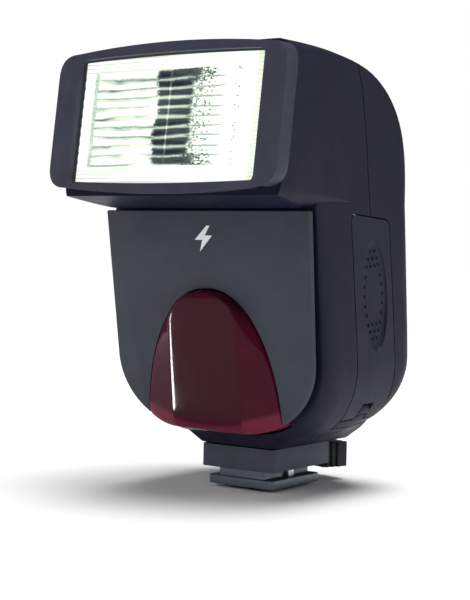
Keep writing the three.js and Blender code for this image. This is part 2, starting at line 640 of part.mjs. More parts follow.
function footBlock() {
  const plan = new THREE.Shape();
  const turn = Math.asin(BLOCK.half / BLOCK.rear);
  plan.moveTo(-BLOCK.half, BLOCK.front + 1.5);
  plan.quadraticCurveTo(-BLOCK.half, BLOCK.front, -BLOCK.half + 1.5, BLOCK.front);
  plan.lineTo(BLOCK.half - 1.5, BLOCK.front);
  plan.quadraticCurveTo(BLOCK.half, BLOCK.front, BLOCK.half, BLOCK.front + 1.5);
  plan.absarc(0, 0, BLOCK.rear, Math.PI / 2 - turn, Math.PI / 2 + turn);
  return less(
    solid(prismZ(plan, BLOCK.bottom, BLOCK.top)),
    solid(box(-6.4, 6.4, -3, 7.8, 0, 5.6)), // chamber over the contacts
    solid(box(-12, 5.6, -4.5, 20, ARM.low - 0.3, ARM.high + 0.3)), // slot for the lever's arm
    solid(rodZ(1.55, 5, 20, 0, 0, 16)),
    solid(rodZ(LOCK_PIN.radius + 0.25, 0, 9.2, 0, LOCK_PIN.y, 16)),
    ...footBores(1.3, 7.5, 20),
  );
}

// Lock lever: a ribbed finger pad behind the foot on an arm that turns about the foot's upright axis.
function lockLever() {
  const sector = (r0, r1, half) => {
    const s = new THREE.Shape();
    const [a, b] = [rad(90 - half), rad(90 + half)];
    s.absarc(0, 0, r1, a, b);
    s.absarc(0, 0, r0, b, a, true);
    return s;
  };
  const arm = all(
    solid(box(-ARM.half, ARM.half, 0, LEVER.inner + 0.6, ARM.low, ARM.high)),
    solid(rodZ(ARM.half - 1.2, ARM.low, ARM.high, 0, 0, 20)),
  );
  const pad = solid(prismZ(sector(LEVER.inner, LEVER.outer - 0.5, LEVER.half), LEVER.bottom, LEVER.top, 10));
  const rib = (r0, r1, half, degrees) =>
    solid(box(r0, r1, -half, half, LEVER.bottom, LEVER.top).rotateZ(rad(90 + degrees)));
  const ribs = [];
  for (let k = -5; k <= 5; k++) ribs.push(rib(LEVER.outer - 0.8, LEVER.outer, 0.6, k * 4.7));
  for (const end of [-LEVER.half, LEVER.half]) {
    for (const r of [17.4, 19, 20.6]) ribs.push(rib(r - 0.4, r + 0.4, 0.4, end));
  }
  return less(all(arm, pad, ...ribs), solid(rodZ(1.5, 0, 20, 0, 0, 16)));
}

const footScrew = () =>
  all(
    less(solid(rodZ(1.9, 11.95, 13.2, 0, 0, 16)), solid(box(-1.3, 1.3, -0.25, 0.25, 12.6, 14))),
    solid(rodZ(0.95, 7.8, 12.1, 0, 0, 12)),
  );

// ---- assembly -----------------------------------------------------------------------------
const flash = new THREE.Group();
flash.name = "speedlight_flash";

function add(name, shape, material, parent = flash, x = 0, y = 0, z = 0) {
  const mesh = new THREE.Mesh(shape.isBufferGeometry ? shape : geometryOf(shape), material);
  mesh.name = name;
  mesh.position.set(x, y, z);
  parent.add(mesh);
  return mesh;
}

function leaningGroup({ y, z, lean }) {
  const group = new THREE.Group();
  group.position.set(0, y, z);
  group.rotation.x = rad(lean);
  flash.add(group);
  return group;
}

// casing
add("front_housing", biggest(frontHousing()), MATERIAL.shell);
add("rear_housing", biggest(rearHousing()), MATERIAL.shell);
add("front_panel", frontPanel(), MATERIAL.panel);
add("af_window", afWindow(), MATERIAL.red);

// lamp head
add("flash_bezel", flashBezel(), MATERIAL.shell);
add("flash_lens", flashLens(), MATERIAL.lens);
add("reflector", reflector(), MATERIAL.mirror);
add("flash_tube", flashTube(), MATERIAL.glass);
add("tube_sleeve_left", tubeSleeve(-1), MATERIAL.rubber);
add("tube_sleeve_right", tubeSleeve(1), MATERIAL.rubber);
add("main_capacitor", rodX(7.2, -21, 21, 0, 0, 28), MATERIAL.black, flash, 0, 1.5, 79.5);
add("trigger_coil", box(-4, 4, -3, 3, -3, 3), MATERIAL.copper, flash, 17, -11, 71.5);

// circuits
const doorSide = leaningGroup(DOOR);
add("main_board", box(-22, 22, -9.2, -8, -20, 15), MATERIAL.board, doorSide);
add("converter_transformer", box(-5.5, 5.5, -3.2, 3.2, -6, 6), MATERIAL.copper, doorSide, -14, -12.9, 6);
add("af_led_board", box(-6, 6, -0.5, 0.5, -6, 6), MATERIAL.board, doorSide, 0, -11.4, -16);
const ledProfile = [[0, 0], [2.9, 0], [2.9, 1], [2.4, 1], [2.4, 3.2], [1.7, 4.7], [0, 5.4]];
const led = new THREE.LatheGeometry(ledProfile.map(([r, y]) => new THREE.Vector2(r, y)), 20);
add("af_led", led.rotateX(Math.PI), MATERIAL.glass, doorSide, 0, -12.3, -16);

// batteries and door
add("battery_cradle", batteryCradle(), MATERIAL.black);
for (let k = 0; k < 4; k++) {
  const height = CELL.mid + (k - 1.5) * CELL.pitch;
  add(`battery_cell_${k + 1}`, batteryCell(k % 2 ? 1 : -1), MATERIAL.cell, doorSide, 0, 0, height);
}
add("cell_contact_plate", contactPlate(-1), MATERIAL.steel);
add("battery_door", batteryDoor(), MATERIAL.shell);
add("door_contact_plate", contactPlate(1), MATERIAL.steel);
add("door_slider", doorSlider(), MATERIAL.shell);
add("door_hinge_pin", hingePin(), MATERIAL.steel);

// back
const back = leaningGroup(BACK);
add("control_panel", controlPanel(), MATERIAL.panel, back);
const lcdOutline = roundRect(-LCD.half, LCD.half, LCD.low, LCD.high, 0.8);
add("lcd_window", prismY(lcdOutline, -1.3, -0.2), MATERIAL.glass, back);
add("lcd_module", box(-14, 14, -4.4, -2.2, 1, 14.2), MATERIAL.screen, back);
add("display_board", displayBoard(), MATERIAL.board, back);
["mode_button", "light_button", "minus_button", "plus_button"].forEach((name, k) => {
  add(name, keyCap(BUTTON.w, BUTTON.h), MATERIAL.rubber, back, BUTTON.xs[k], 0, BUTTON.z);
});
add("test_button", testButton(), MATERIAL.rubber, back, TEST.x, 0, TEST.z);
add("power_switch", powerSwitch(), MATERIAL.black, back, SWITCH.x - SWITCH.travel / 2, 0, SWITCH.z);
const readyLamp = rodY(LAMP_SPOT.radius, -5.6, 0.2, 0, 0, 16);
add("ready_lamp", readyLamp, MATERIAL.red, back, LAMP_SPOT.x, 0, LAMP_SPOT.z);

// foot
add("shoe_foot", shoeFoot(), MATERIAL.steel);
add("contact_carrier", contactCarrier(), MATERIAL.black);
for (const [name, x, y] of CONTACTS) add(name, contactPin(), MATERIAL.brass, flash, x, y, 0);
const groundContact = box(0, 0.8, -1.1, 1.1, -0.8, 0.8);
add("side_ground_contact", groundContact, MATERIAL.steel, flash, FOOT.neck + 0.3, 0.6, 2.9);
add("foot_block", footBlock(), MATERIAL.black);
add("lock_lever", lockLever(), MATERIAL.black);
add("lever_pivot", rodZ(1.2, 5.75, 9.3, 0, 0, 16), MATERIAL.steel);
add("lock_pin", rodZ(LOCK_PIN.radius, 0.3, 9, 0, 0, 16), MATERIAL.steel, flash, 0, LOCK_PIN.y, 0);
footScrewSpots.forEach(([x, y], k) => {
  add(`foot_screw_${k + 1}`, footScrew(), MATERIAL.steel, flash, x, y, 0);
});

export default flash;
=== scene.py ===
"""A compact shoe-mount flash: the visual model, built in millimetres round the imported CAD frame."""

import math

import bmesh
import bpy
import numpy as np
from mathutils import Matrix, Vector


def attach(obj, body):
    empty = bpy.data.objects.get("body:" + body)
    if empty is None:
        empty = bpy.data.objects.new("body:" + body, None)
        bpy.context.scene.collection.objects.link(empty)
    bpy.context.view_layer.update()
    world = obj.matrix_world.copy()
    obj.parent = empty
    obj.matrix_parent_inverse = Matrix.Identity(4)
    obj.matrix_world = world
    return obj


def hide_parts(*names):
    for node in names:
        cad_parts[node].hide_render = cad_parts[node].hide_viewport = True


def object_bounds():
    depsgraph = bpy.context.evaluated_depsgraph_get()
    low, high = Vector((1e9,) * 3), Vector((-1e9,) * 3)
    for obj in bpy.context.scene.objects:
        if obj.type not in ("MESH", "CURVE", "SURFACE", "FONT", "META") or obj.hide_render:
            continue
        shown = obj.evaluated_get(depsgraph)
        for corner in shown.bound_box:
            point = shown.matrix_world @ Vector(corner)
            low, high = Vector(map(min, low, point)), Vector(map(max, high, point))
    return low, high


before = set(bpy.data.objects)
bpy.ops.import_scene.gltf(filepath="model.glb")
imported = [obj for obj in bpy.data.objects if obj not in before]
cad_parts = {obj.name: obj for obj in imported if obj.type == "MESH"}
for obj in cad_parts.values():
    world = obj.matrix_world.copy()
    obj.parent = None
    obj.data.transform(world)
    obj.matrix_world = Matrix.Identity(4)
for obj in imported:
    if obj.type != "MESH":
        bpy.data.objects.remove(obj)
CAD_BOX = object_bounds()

MM = 0.001
rad = math.radians

# ---- shared dimensions, in millimetres ----------------------------------------------------------
WALL = 1.8
GAP = 0.3
BODY = dict(bottom=12.5, side=29.2, top_side=28.6, taper_from=36, front=27.9, set_back=3.2, rear=22,
            rear_lean=0.05, edge=7, rear_edge=8, rear_spread=17, lip_y=3, lip_z=5.5)
SIDE_ROUND = dict(x=15, z=18, top=30.5)
FRONT_ROUND = dict(x=19, z=17, top=30.7)
REAR_ROUND = dict(y=3, z=20.7, top=30.5)
CROWN = dict(y=-34, z=66, depth=54.2, rise=33.4, power=3.1)
COLLAR = [  # height, half width, front and rear of the flare down to the foot block
    (9.8, 11.4, -11.5, 20.4), (11, 13, -12, 20.5), (12.3, 14.8, -12.4, 20.6), (13.6, 16.1, -12.9, 20.8),
    (15.4, 17.4, -12.8, 20.9), (17, 17.2, -12.6, 20.9),
]
FLARE = dict(full=17, end=21, shrink=1.5, fillet=4.5, ease=3, gather=0.5)
PARTING = [(-11.5, 110), (-10.4, 97.8), (-7.7, 96), (-5.6, 91.3), (-3.5, 80), (-1.2, 63.6), (2.6, 36),
           (2.6, 0)]
PANEL = dict(half=27.3, top_half=28.2, round=dict(x=19, z=16.7, top=30.7), bottom=14, top=63.8, neck=1.2,
             face_y=-22.2, face_z=32, lean=0.119)
HEAD = dict(half=29.6, rear_half=28.6, y=-34.2, lean=-0.14, under=66.6, neck_under=64.3, taper_to=-6,
            round=4.5)
BEZEL = dict(half=31.1, y=-38.6, lean=-0.14, bottom=67.6, top=99.3, depth=4.6, cheek=26.8)
LENS = dict(half=25.4, bottom=69.4, top=97, recess=1.9, corner=1.4, arch=0.5)
LENS_ROWS = dict(low=73, high=94, pitch=2.1, border=0.85)
# places of the painted lamp reflections and painted shade on the lens
LENS_ART = dict(band=(-3.9, 5.8), ends=(-4.2, 7.4), top_row=(90.6, 91.4), low_row=(76.0, 75.2),
                post=(-0.5, -0.1), speckle=(4.0, 12.6), streaks=(-21.5, -3.2), far_ribs=(3, 15),
                wall=(-22.2, -20.9), specks=(17.0, 18.6), frame=(-22.6, 21), side=(22.2, 27))
# crest and brow: where the plateau and its height end, each as (start, length, power)
WINDOW = dict(top=46.1, bottom=13.9, plateau=9.5, proud=2.4, rim=0.3, wide=18.6, foot=0.12,
              crest=(38.2, 7.2, 2.3), brow=(38, 8.1, 5))
DOOR = dict(y=0.45, z=46.5, lean=5.5, half=8.1, top_front=17.8, top_rear=15.1, round=2, inner=21)
HINGE = dict(x=24, y=3.08, z=19.4, barrel=1.4, pin=0.6, sweep=2.85)
DISH = dict(y=0.6, z=-1.2, wide=5.2, tall=12.8, floor=28.6)
SPRING_FACE = 24.1
BACK = dict(y=21.21, z=48, lean=2.86)
FOOT_SCREWS = [(-7, -6.5), (7, -6.5), (-7, 9.5), (7, 9.5)]
SECTION_STEPS = 24  # points in each corner of a level of the body
SECTION_SIDES = (SECTION_STEPS, 3 * SECTION_STEPS + 2)  # where a level's two flanks start
FRONT_PARTS, SIDE_PARTS = 36, 12  # into which a level's long edges are split

EDGE_LIT = bpy.data.collections.new("edge_lit")  # the pieces that the narrow strip light falls on


# ---- camera, floor and light --------------------------------------------------------------------
def make_camera(azimuth=36, elevation=2.2, roll=1.0, focal_px=1506, distance=359, side=-6.9, height=43.2):
    """Angles in degrees, distances in millimetres, focal length in pixels of a frame 600 high."""
    a, e, r = rad(azimuth), rad(elevation), rad(roll)
    back = Vector((math.sin(a) * math.cos(e), -math.cos(a) * math.cos(e), math.sin(e)))
    right = Vector((math.cos(a), math.sin(a), 0))
    up = back.cross(right)
    x = math.cos(r) * right + math.sin(r) * up
    y = math.cos(r) * up - math.sin(r) * right
    data = bpy.data.cameras.new("camera")
    data.sensor_width = 36
    data.lens = 36 * focal_px / 600
    data.clip_start = 0.01
    cam = bpy.data.objects.new("camera", data)
    place = (back * distance + x * side + y * height) * MM
    cam.matrix_world = Matrix.Translation(place) @ Matrix((x, y, back)).transposed().to_4x4()
    bpy.context.scene.collection.objects.link(cam)
    bpy.context.scene.camera = cam


def area_light(name, place, target, size, watts):
    data = bpy.data.lights.new(name, "AREA")
    data.shape = "RECTANGLE"
    data.size, data.size_y = size
    data.energy = watts
    light = bpy.data.objects.new(name, data)
    light.location = place
    light.rotation_euler = (Vector(target) - Vector(place)).to_track_quat("-Z", "Y").to_euler()
    bpy.context.scene.collection.objects.link(light)
    return light


def light_paths(tree, seen=1.0, cast=0.1):
    """The world is white to the camera and dimmer as a light, so dark plastic stays dark."""
    path = tree.nodes.new("ShaderNodeLightPath")
    level = tree.nodes.new("ShaderNodeMapRange")
    level.inputs["To Min"].default_value, level.inputs["To Max"].default_value = cast, seen
    tree.links.new(path.outputs["Is Camera Ray"], level.inputs["Value"])
    tree.links.new(level.outputs["Result"], tree.nodes["Background"].inputs["Strength"])
    tree.nodes["Background"].inputs["Color"].default_value = (1, 1, 1, 1)


def make_stage(drop=0.0003):
    """A wide white floor just under the foot, soft fills, one strip light and an overhead sun."""
    low = CAD_BOX[0][2] - drop
    bpy.ops.mesh.primitive_circle_add(vertices=96, radius=3, fill_type="NGON", location=(0, 0, low))
    floor = bpy.context.object
    floor.name = "floor"
    mat = bpy.data.materials.new("floor_white")
    mat.use_nodes = True
    bsdf = mat.node_tree.nodes["Principled BSDF"]
    bsdf.inputs["Base Color"].default_value = (0.97, 0.97, 0.97, 1)
    bsdf.inputs["Roughness"].default_value = 0.9
    floor.data.materials.append(mat)
    world = bpy.data.worlds.new("studio")
    bpy.context.scene.world = world
    world.use_nodes = True
    light_paths(world.node_tree)
    middle = (0, 0, 0.055)
    area_light("fill_left", (-0.75, -0.25, 0.35), middle, (0.6, 0.6), 1.6).visible_glossy = False
    area_light("fill_front", (-0.1, -0.95, 0.6), middle, (0.5, 0.5), 2.0)
    area_light("fill_rear", (0.75, 0.6, 0.4), middle, (0.4, 0.4), 1.5)
    streak = (-0.0095, -0.026, 0.031)
    strip = area_light("edge_strip", (-0.0555, -0.0635, 0.0145), streak, (0.016, 0.028), 0.17)
    strip.visible_camera = strip.visible_diffuse = False
    strip.light_linking.receiver_collection = EDGE_LIT
    sun = bpy.data.lights.new("overhead", "SUN")
    sun.energy, sun.angle = 3.3, rad(41)
    overhead = bpy.data.objects.new("overhead", sun)
    overhead.rotation_euler = Vector((-0.11, -0.08, -1)).to_track_quat("-Z", "Y").to_euler()
    bpy.context.scene.collection.objects.link(overhead)
    bpy.context.scene.view_settings.view_transform = "Standard"


# ---- mesh helpers -------------------------------------------------------------------------------
def link(mesh, name):
    obj = bpy.data.objects.new(name, mesh)
    bpy.context.scene.collection.objects.link(obj)
    return obj


def from_points(name, points, faces):
    mesh = bpy.data.meshes.new(name)
    mesh.from_pydata([Vector(p) * MM for p in points], [], faces)
    mesh.update()
    return link(mesh, name)


def loft(name, rings):
    """A closed skin over rings of equal length, anticlockwise from above."""
    n = len(rings[0])
    points = [p for ring in rings for p in ring]
    faces = []
    for k in range(len(rings) - 1):
        for i in range(n):
            j = (i + 1) % n
            faces.append((k * n + i, k * n + j, (k + 1) * n + j, (k + 1) * n + i))
    faces.append(tuple(range(n - 1, -1, -1)))
    faces.append(tuple(range((len(rings) - 1) * n, len(rings) * n)))
    return from_points(name, points, faces)


def prism(name, outline, low, high, axis, matrix=None):
    """An outline swept along an axis: (y, z) along x, (x, z) along y, (x, y) along z."""
    if axis == "y":
        rings = [[(a, c, b) for a, b in outline] for c in (high, low)]
    elif axis == "x":
        rings = [[(c, a, b) for a, b in outline] for c in (low, high)]
    else:
        rings = [[(a, b, c) for a, b in outline] for c in (low, high)]
    obj = loft(name, rings)
    if matrix:
        obj.data.transform(matrix)
    return obj


def block(name, x0, x1, y0, y1, z0, z1, matrix=None):
    return prism(name, [(x0, y0), (x1, y0), (x1, y1), (x0, y1)], z0, z1, "z", matrix)


def arc(cx, cy, rx, ry, a0, a1, n):
    return [(cx + rx * math.cos(rad(a0 + (a1 - a0) * i / n)), cy + ry * math.sin(rad(a0 + (a1 - a0) * i / n)))
            for i in range(n + 1)]


def curve(a, b, c, n):
    """A quadratic curve from a to c, pulled towards b, without its first point."""
    return [tuple((1 - u) ** 2 * a[i] + 2 * u * (1 - u) * b[i] + u * u * c[i] for i in (0, 1))
            for u in (k / n for k in range(1, n + 1))]


def mirrored(right):
    """A whole outline from its right half."""
    return right + [(-x, y) for x, y in reversed(right)]


def round_rect(a0, a1, b0, b1, r, n=8):
    return (arc(a1 - r, b0 + r, r, r, -90, 0, n) + arc(a1 - r, b1 - r, r, r, 0, 90, n)
            + arc(a0 + r, b1 - r, r, r, 90, 180, n) + arc(a0 + r, b0 + r, r, r, 180, 270, n))


def rod(name, radius, low, high, a, b, axis, n=32, matrix=None):
    return prism(name, arc(a, b, radius, radius, 0, 360 - 360 / n, n - 1), low, high, axis, matrix)


def leaning(y, z, degrees):
    return Matrix.Translation(Vector((0, y, z)) * MM) @ Matrix.Rotation(rad(degrees), 4, "X")


DOOR_FRAME = leaning(DOOR["y"], DOOR["z"], DOOR["lean"])
BACK_FRAME = leaning(BACK["y"], BACK["z"], BACK["lean"])


def settle(obj):
    """Applies the modifiers of an object to its mesh."""
    bpy.context.view_layer.update()
    graph = bpy.context.evaluated_depsgraph_get()
    mesh = bpy.data.meshes.new_from_object(obj.evaluated_get(graph))
    obj.modifiers.clear()
    old, obj.data = obj.data, mesh
    bpy.data.meshes.remove(old)
    return obj


def combine(obj, other, operation):
    """One boolean step, which uses up the other object."""
    mod = obj.modifiers.new("cut", "BOOLEAN")
    mod.operation, mod.object, mod.solver = operation, other, "MANIFOLD"
    settle(obj)
    bpy.data.objects.remove(other)
    return obj


def cut(obj, *others):
    for other in others:
        combine(obj, other, "DIFFERENCE")
    return obj


def both(obj, other):
    return combine(obj, other, "INTERSECT")


def join(obj, *others):
    for other in others:
        combine(obj, other, "UNION")
    return obj


def copy(obj, name):
    return link(obj.data.copy(), name)


def soften(obj, width=0.3, segments=2, angle=32):
    """Rounds the sharp edges and shades the rest smooth."""
    tidy(obj)
    mod = obj.modifiers.new("round", "BEVEL")
    mod.width, mod.segments, mod.limit_method = width * MM, segments, "ANGLE"
    mod.angle_limit = rad(angle)
    settle(obj)
    return shade(obj)


def tidy(obj, distance=0.004):
    """Merges double points and the triangles of flat faces."""
    bm = bmesh.new()
    bm.from_mesh(obj.data)
    bmesh.ops.remove_doubles(bm, verts=bm.verts, dist=distance * MM)
    bmesh.ops.dissolve_limit(bm, angle_limit=rad(0.6), verts=bm.verts, edges=bm.edges)
    bm.to_mesh(obj.data)
    bm.free()
    return obj


def shade(obj, angle=38):
    obj.data.shade_smooth()
    obj.data.set_sharp_from_angle(angle=rad(angle))
    return obj


def piece(obj, name, body, slot, material, *nodes):
    """Names a finished piece and binds it to its body, material and the CAD nodes it replaces; the slot
    argument is not used.
    """
    obj.name = name
    obj.data.name = name
    obj.data.materials.clear()
    obj.data.materials.append(material)
    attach(obj, body)
    if nodes:
        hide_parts(*nodes)
    return obj


def node_copy(node, name):
    """The CAD node's own mesh in a new object, for rounding and finishing."""
    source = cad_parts[node].data
    mesh = bpy.data.meshes.new(name)
    mesh.from_pydata([v.co for v in source.vertices], [], [tuple(p.vertices) for p in source.polygons])
    return tidy(link(mesh, name))


# ---- materials ----------------------------------------------------------------------------------
def shader(name):
    mat = bpy.data.materials.new(name)
    mat.use_nodes = True
    return mat, mat.node_tree, mat.node_tree.nodes["Principled BSDF"]


def noise(tree, size_mm, detail=3, rough=0.5, stretch=(1, 1, 1)):
    """Cloudy variation with features about size_mm wide, fixed to the part."""
    coord = tree.nodes.new("ShaderNodeTexCoord")
    spread = tree.nodes.new("ShaderNodeMapping")
    spread.inputs["Scale"].default_value = stretch
    tex = tree.nodes.new("ShaderNodeTexNoise")
    tex.inputs["Scale"].default_value = 1 / (size_mm * MM)
    tex.inputs["Detail"].default_value = detail
    tex.inputs["Roughness"].default_value = rough
    tree.links.new(coord.outputs["Object"], spread.inputs["Vector"])
    tree.links.new(spread.outputs["Vector"], tex.inputs["Vector"])
    return tex.outputs["Fac"]


def span(tree, value, low, high):
    """Maps the middle of a noise's range to low..high."""
    node = tree.nodes.new("ShaderNodeMapRange")
    node.inputs["From Min"].default_value, node.inputs["From Max"].default_value = 0.3, 0.7
    node.inputs["To Min"].default_value, node.inputs["To Max"].default_value = low, high
    tree.links.new(value, node.inputs["Value"])
    return node.outputs["Result"]


def ramp(tree, value, *stops):
    """A colour for each place along a value, blended between them."""
    node = tree.nodes.new("ShaderNodeValToRGB")
    elements = node.color_ramp.elements
    while len(elements) < len(stops):
        elements.new(0.5)
    for element, (place, color) in zip(elements, stops):
        element.position, element.color = place, (*color, 1)
    tree.links.new(value, node.inputs["Fac"])
    return node.outputs["Color"]


def bump(tree, bsdf, *layers):
    """Layers of (height, depth in mm), stacked into one normal."""
    normal = None
    for height, depth in layers:
        node = tree.nodes.new("ShaderNodeBump")
        node.inputs["Strength"].default_value = 1
        node.inputs["Distance"].default_value = depth * MM
        tree.links.new(height, node.inputs["Height"])
        if normal:
            tree.links.new(normal, node.inputs["Normal"])
        normal = node.outputs["Normal"]
    tree.links.new(normal, bsdf.inputs["Normal"])


class Field:
    """A number that varies over a surface, with the usual arithmetic."""

    def __init__(self, tree, socket):
        self.tree, self.socket = tree, socket

    def math(self, operation, *others):
        node = self.tree.nodes.new("ShaderNodeMath")
        node.operation = operation
        for socket, value in zip(node.inputs, (self, *others)):
            if isinstance(value, Field):
                self.tree.links.new(value.socket, socket)
            else:
                socket.default_value = value
        return Field(self.tree, node.outputs[0])

    def __add__(self, other):
        return self.math("ADD", other)

    def __sub__(self, other):
        return self.math("SUBTRACT", other)

    def __mul__(self, other):
        return self.math("MULTIPLY", other)

    def __rsub__(self, other):
        return self.math("MULTIPLY_ADD", -1, other)

    def max(self, other):
        return self.math("MAXIMUM", other)

    def fade(self, low, high):
        """0 below low, 1 above high, smooth between; the other way round if low is above high."""
        if low > high:
            return 1 - self.fade(high, low)
        node = self.tree.nodes.new("ShaderNodeMapRange")
        node.interpolation_type = "SMOOTHSTEP"
        node.inputs["From Min"].default_value, node.inputs["From Max"].default_value = low, high
        self.tree.links.new(self.socket, node.inputs["Value"])
        return Field(self.tree, node.outputs["Result"])

    def within(self, low, high, soft):
        """1 between low and high, 0 outside, with soft edges."""
        return self.fade(low - soft, low + soft) * self.fade(high + soft, high - soft)

    def wave(self, pitch, place=0):
        """1 on lines a pitch apart, 0 halfway between them."""
        return ((self - place) * (2 * math.pi / pitch)).math("COSINE").math("MULTIPLY_ADD", 0.5, 0.5)


def coordinates(tree):
    """The part's own x, y and z at a point, in millimetres."""
    coord = tree.nodes.new("ShaderNodeTexCoord")
    split = tree.nodes.new("ShaderNodeSeparateXYZ")
    tree.links.new(coord.outputs["Object"], split.inputs["Vector"])
    return [Field(tree, split.outputs[axis]) * 1000 for axis in "XYZ"]


def fresnel_lens(name):
    """A lamp window painted as overexposed: a painted glow, bright ribs, a dark band of painted lamp
    reflections and speckle beside it.
    """
    mat, tree, bsdf = shader(name)
    x, _, z = coordinates(tree)
    rows, art = LENS_ROWS, LENS_ART
    long = Field(tree, noise(tree, 7, 2, 0.5, (0.6, 1, 2.2)))
    short = Field(tree, noise(tree, 0.55, 3, 0.6, (0.8, 1, 1.5)))
    inside = z.within(rows["low"], rows["high"], 0.12)

    # the dark band of painted lamp reflections, crossed by bright gaps between the ribs and by one upright
    line = (z + (long - 0.5) * 1.0 + (short - 0.5) * 0.25).wave(rows["pitch"], rows["low"])
    gap = line.fade(0.8, 0.97)
    ragged = x + (long - 0.5) * 2.4 + (short - 0.5) * 2.6
    blocks = line.fade(0.88, 0.3) * 0.44 + 0.5
    post = 1 - x.within(*art["post"], 0.25) * 0.45
    band = ragged.within(*art["band"], 0.8) * blocks * post * (1 - gap * 0.32) * (long * 0.7 + 0.62)
    ends = z.fade(*art["top_row"]).max(z.fade(*art["low_row"]))
    band = band.max(ends * ragged.within(*art["ends"], 1.4) * (1.2 - short) * (1 - gap * 0.5))

    # more painted lamp reflections: speckle to its right, wavy streaks to its left and fainter ribs beyond
    # the speckle
    grains = (short - x * 0.009 + ends * 0.03).fade(0.33, 0.57)
    speckle = grains * ragged.within(*art["speckle"], 1.6) * (ends * 0.2 + 0.56)
    waved = (z + (long - 0.5) * 2.6).wave(rows["pitch"], rows["low"] + 0.5)
    swept = (z + (long - 0.5) * 1.9).wave(rows["pitch"], rows["low"])
    strands = swept.fade(0.3, 0.95) * 0.6 + waved.fade(0.55, 0.95) * (short * 0.9)
    taper = x.fade(-3, -22)
    streaks = strands * x.within(*art["streaks"], 0.5) * (taper * 0.06 + 0.4) * (long * 1.9 + 0.05)
    streaks = streaks + line.fade(0.8, 1) * x.within(*art["far_ribs"], 2.5) * 0.4
    wall = x.within(*art["wall"], 0.25) * (short * 0.5 + 0.06)
    specks = short.fade(0.50, 0.62) * x.within(*art["specks"], 0.4) * 0.5
    inner = band.max(speckle).max(streaks).max(wall).max(specks) * inside

    # the outline of the ribbed field, the finer ribs round it and the painted shade of the bezel's inner wall
    # along the pane's edge
    above = z.within(rows["high"], rows["high"] + 0.15, 0.12)
    below = z.within(rows["low"] - 0.15, rows["low"], 0.12)
    rim = above.max(below) * x.within(*art["frame"], 0.2) * x.fade(14, -8) * 0.35
    fine = z.wave(rows["border"], rows["low"])
    border = (1 - inside) * fine.fade(0.45, 1) * x.fade(22, -10) * 0.26
    side = x.within(*art["side"], 0.3) * (fine * 0.09 + 0.15)
    arch = (1 - x * x * (1 / LENS["half"] ** 2)) * LENS["arch"]
    # painted shade: a dark strip where the bezel's inner wall shades the pane
    painted_bezel_shade = x.math("ABSOLUTE").fade(24.8, 25.1)
    painted_bezel_shade = painted_bezel_shade.max((z - arch).fade(96.4, 96.7)).max((z + arch).fade(69.9, 69.6))

    dark = inner.max(rim).max(border).max(side).max(painted_bezel_shade * 0.9)
    tone = ramp(tree, dark.socket, (0, (1, 1, 1)), (0.14, (0.80, 0.90, 0.70)), (0.32, (0.42, 0.52, 0.44)),
                (0.6, (0.085, 0.105, 0.10)), (1, (0.012, 0.016, 0.022)))
    tree.links.new(tone, bsdf.inputs["Base Color"])
    # painted glow: the pane emits its own tone so that it looks overexposed
    tree.links.new(tone, bsdf.inputs["Emission Color"])
    bsdf.inputs["Emission Strength"].default_value = 0.62
    tree.links.new(span(tree, short.socket, 0.12, 0.2), bsdf.inputs["Roughness"])
    bump(tree, bsdf, (short.socket, 0.01))
    bsdf.inputs["Specular IOR Level"].default_value = 0.4
    return mat


def battery(name):
    """A shrink sleeve with one bright band, bare metal at the ends."""
    mat, tree, bsdf = shader(name)
    x, _, _ = coordinates(tree)
    scuff = Field(tree, noise(tree, 1.5, 4, 0.6))
    ends = x.math("ABSOLUTE").fade(21.3, 21.5)
    band = x.within(12, 19.5, 0.1)
    place = (band * 0.5 + scuff * 0.15).max(ends)
    tone = ramp(tree, place.socket, (0.0, (0.030, 0.034, 0.045)), (0.2, (0.042, 0.047, 0.060)),
                (0.5, (0.50, 0.27, 0.09)), (0.7, (0.50, 0.29, 0.11)), (0.98, (0.62, 0.61, 0.58)))
    tree.links.new(tone, bsdf.inputs["Base Color"])
    tree.links.new(ends.socket, bsdf.inputs["Metallic"])
    tree.links.new(span(tree, scuff.socket, 0.25, 0.4), bsdf.inputs["Roughness"])
    bump(tree, bsdf, (scuff.socket, 0.006))
    return mat


def red_window(name):
    """Glossy red plastic, nearly black over the lamp; painted light makes it redder in its flanks, crest and
    rounded foot.
    """
    mat, tree, bsdf = shader(name)
    x, _, z = coordinates(tree)
    drift = Field(tree, noise(tree, 6, 3, 0.5))
    across = x.math("ABSOLUTE")
    # painted light: the red is lifted where the flanks, crest and rounded foot catch light
    flank = across.fade(WINDOW["plateau"] - 0.3, WINDOW["plateau"] + 0.5)
    foot = (z - across * 0.012 * across * 0.8).fade(17.2, 14.6)
    crest = z.fade(43.4, 45.4)
    painted_light = (flank * 0.42 + foot * 0.75).max(crest * 0.4) + (drift - 0.5) * 0.2
    tone = ramp(tree, painted_light.socket, (0, (0.044, 0.0055, 0.014)), (0.4, (0.056, 0.003, 0.014)),
                (0.9, (0.17, 0.019, 0.046)))
    tree.links.new(tone, bsdf.inputs["Base Color"])
    tree.links.new(span(tree, drift.socket, 0.06, 0.09), bsdf.inputs["Roughness"])
    bump(tree, bsdf, (drift.socket, 0.003))
    bsdf.inputs["Specular IOR Level"].default_value = 0.08
    return mat


def moulded(name, color, rough=0.5, grain=0.25, depth=0.012, vary=0.12, specular=0.5, patch=9):
    """Moulded plastic or rubber: slow colour drift, fine spark grain and uneven gloss."""
    mat, tree, bsdf = shader(name)
    drift = noise(tree, patch, 4, 0.6)
    low = tuple(c * (1 - vary) for c in color)
    high = tuple(min(1, c * (1 + vary)) for c in color)
    tree.links.new(ramp(tree, drift, (0.35, low), (0.65, high)), bsdf.inputs["Base Color"])
    fine = noise(tree, grain, 2)
    smudge = noise(tree, patch * 0.6, 5, 0.7)
    tree.links.new(span(tree, smudge, rough - 0.05, rough + 0.06), bsdf.inputs["Roughness"])
    bump(tree, bsdf, (fine, depth), (drift, depth * 1.5))
    bsdf.inputs["Specular IOR Level"].default_value = specular
    return mat


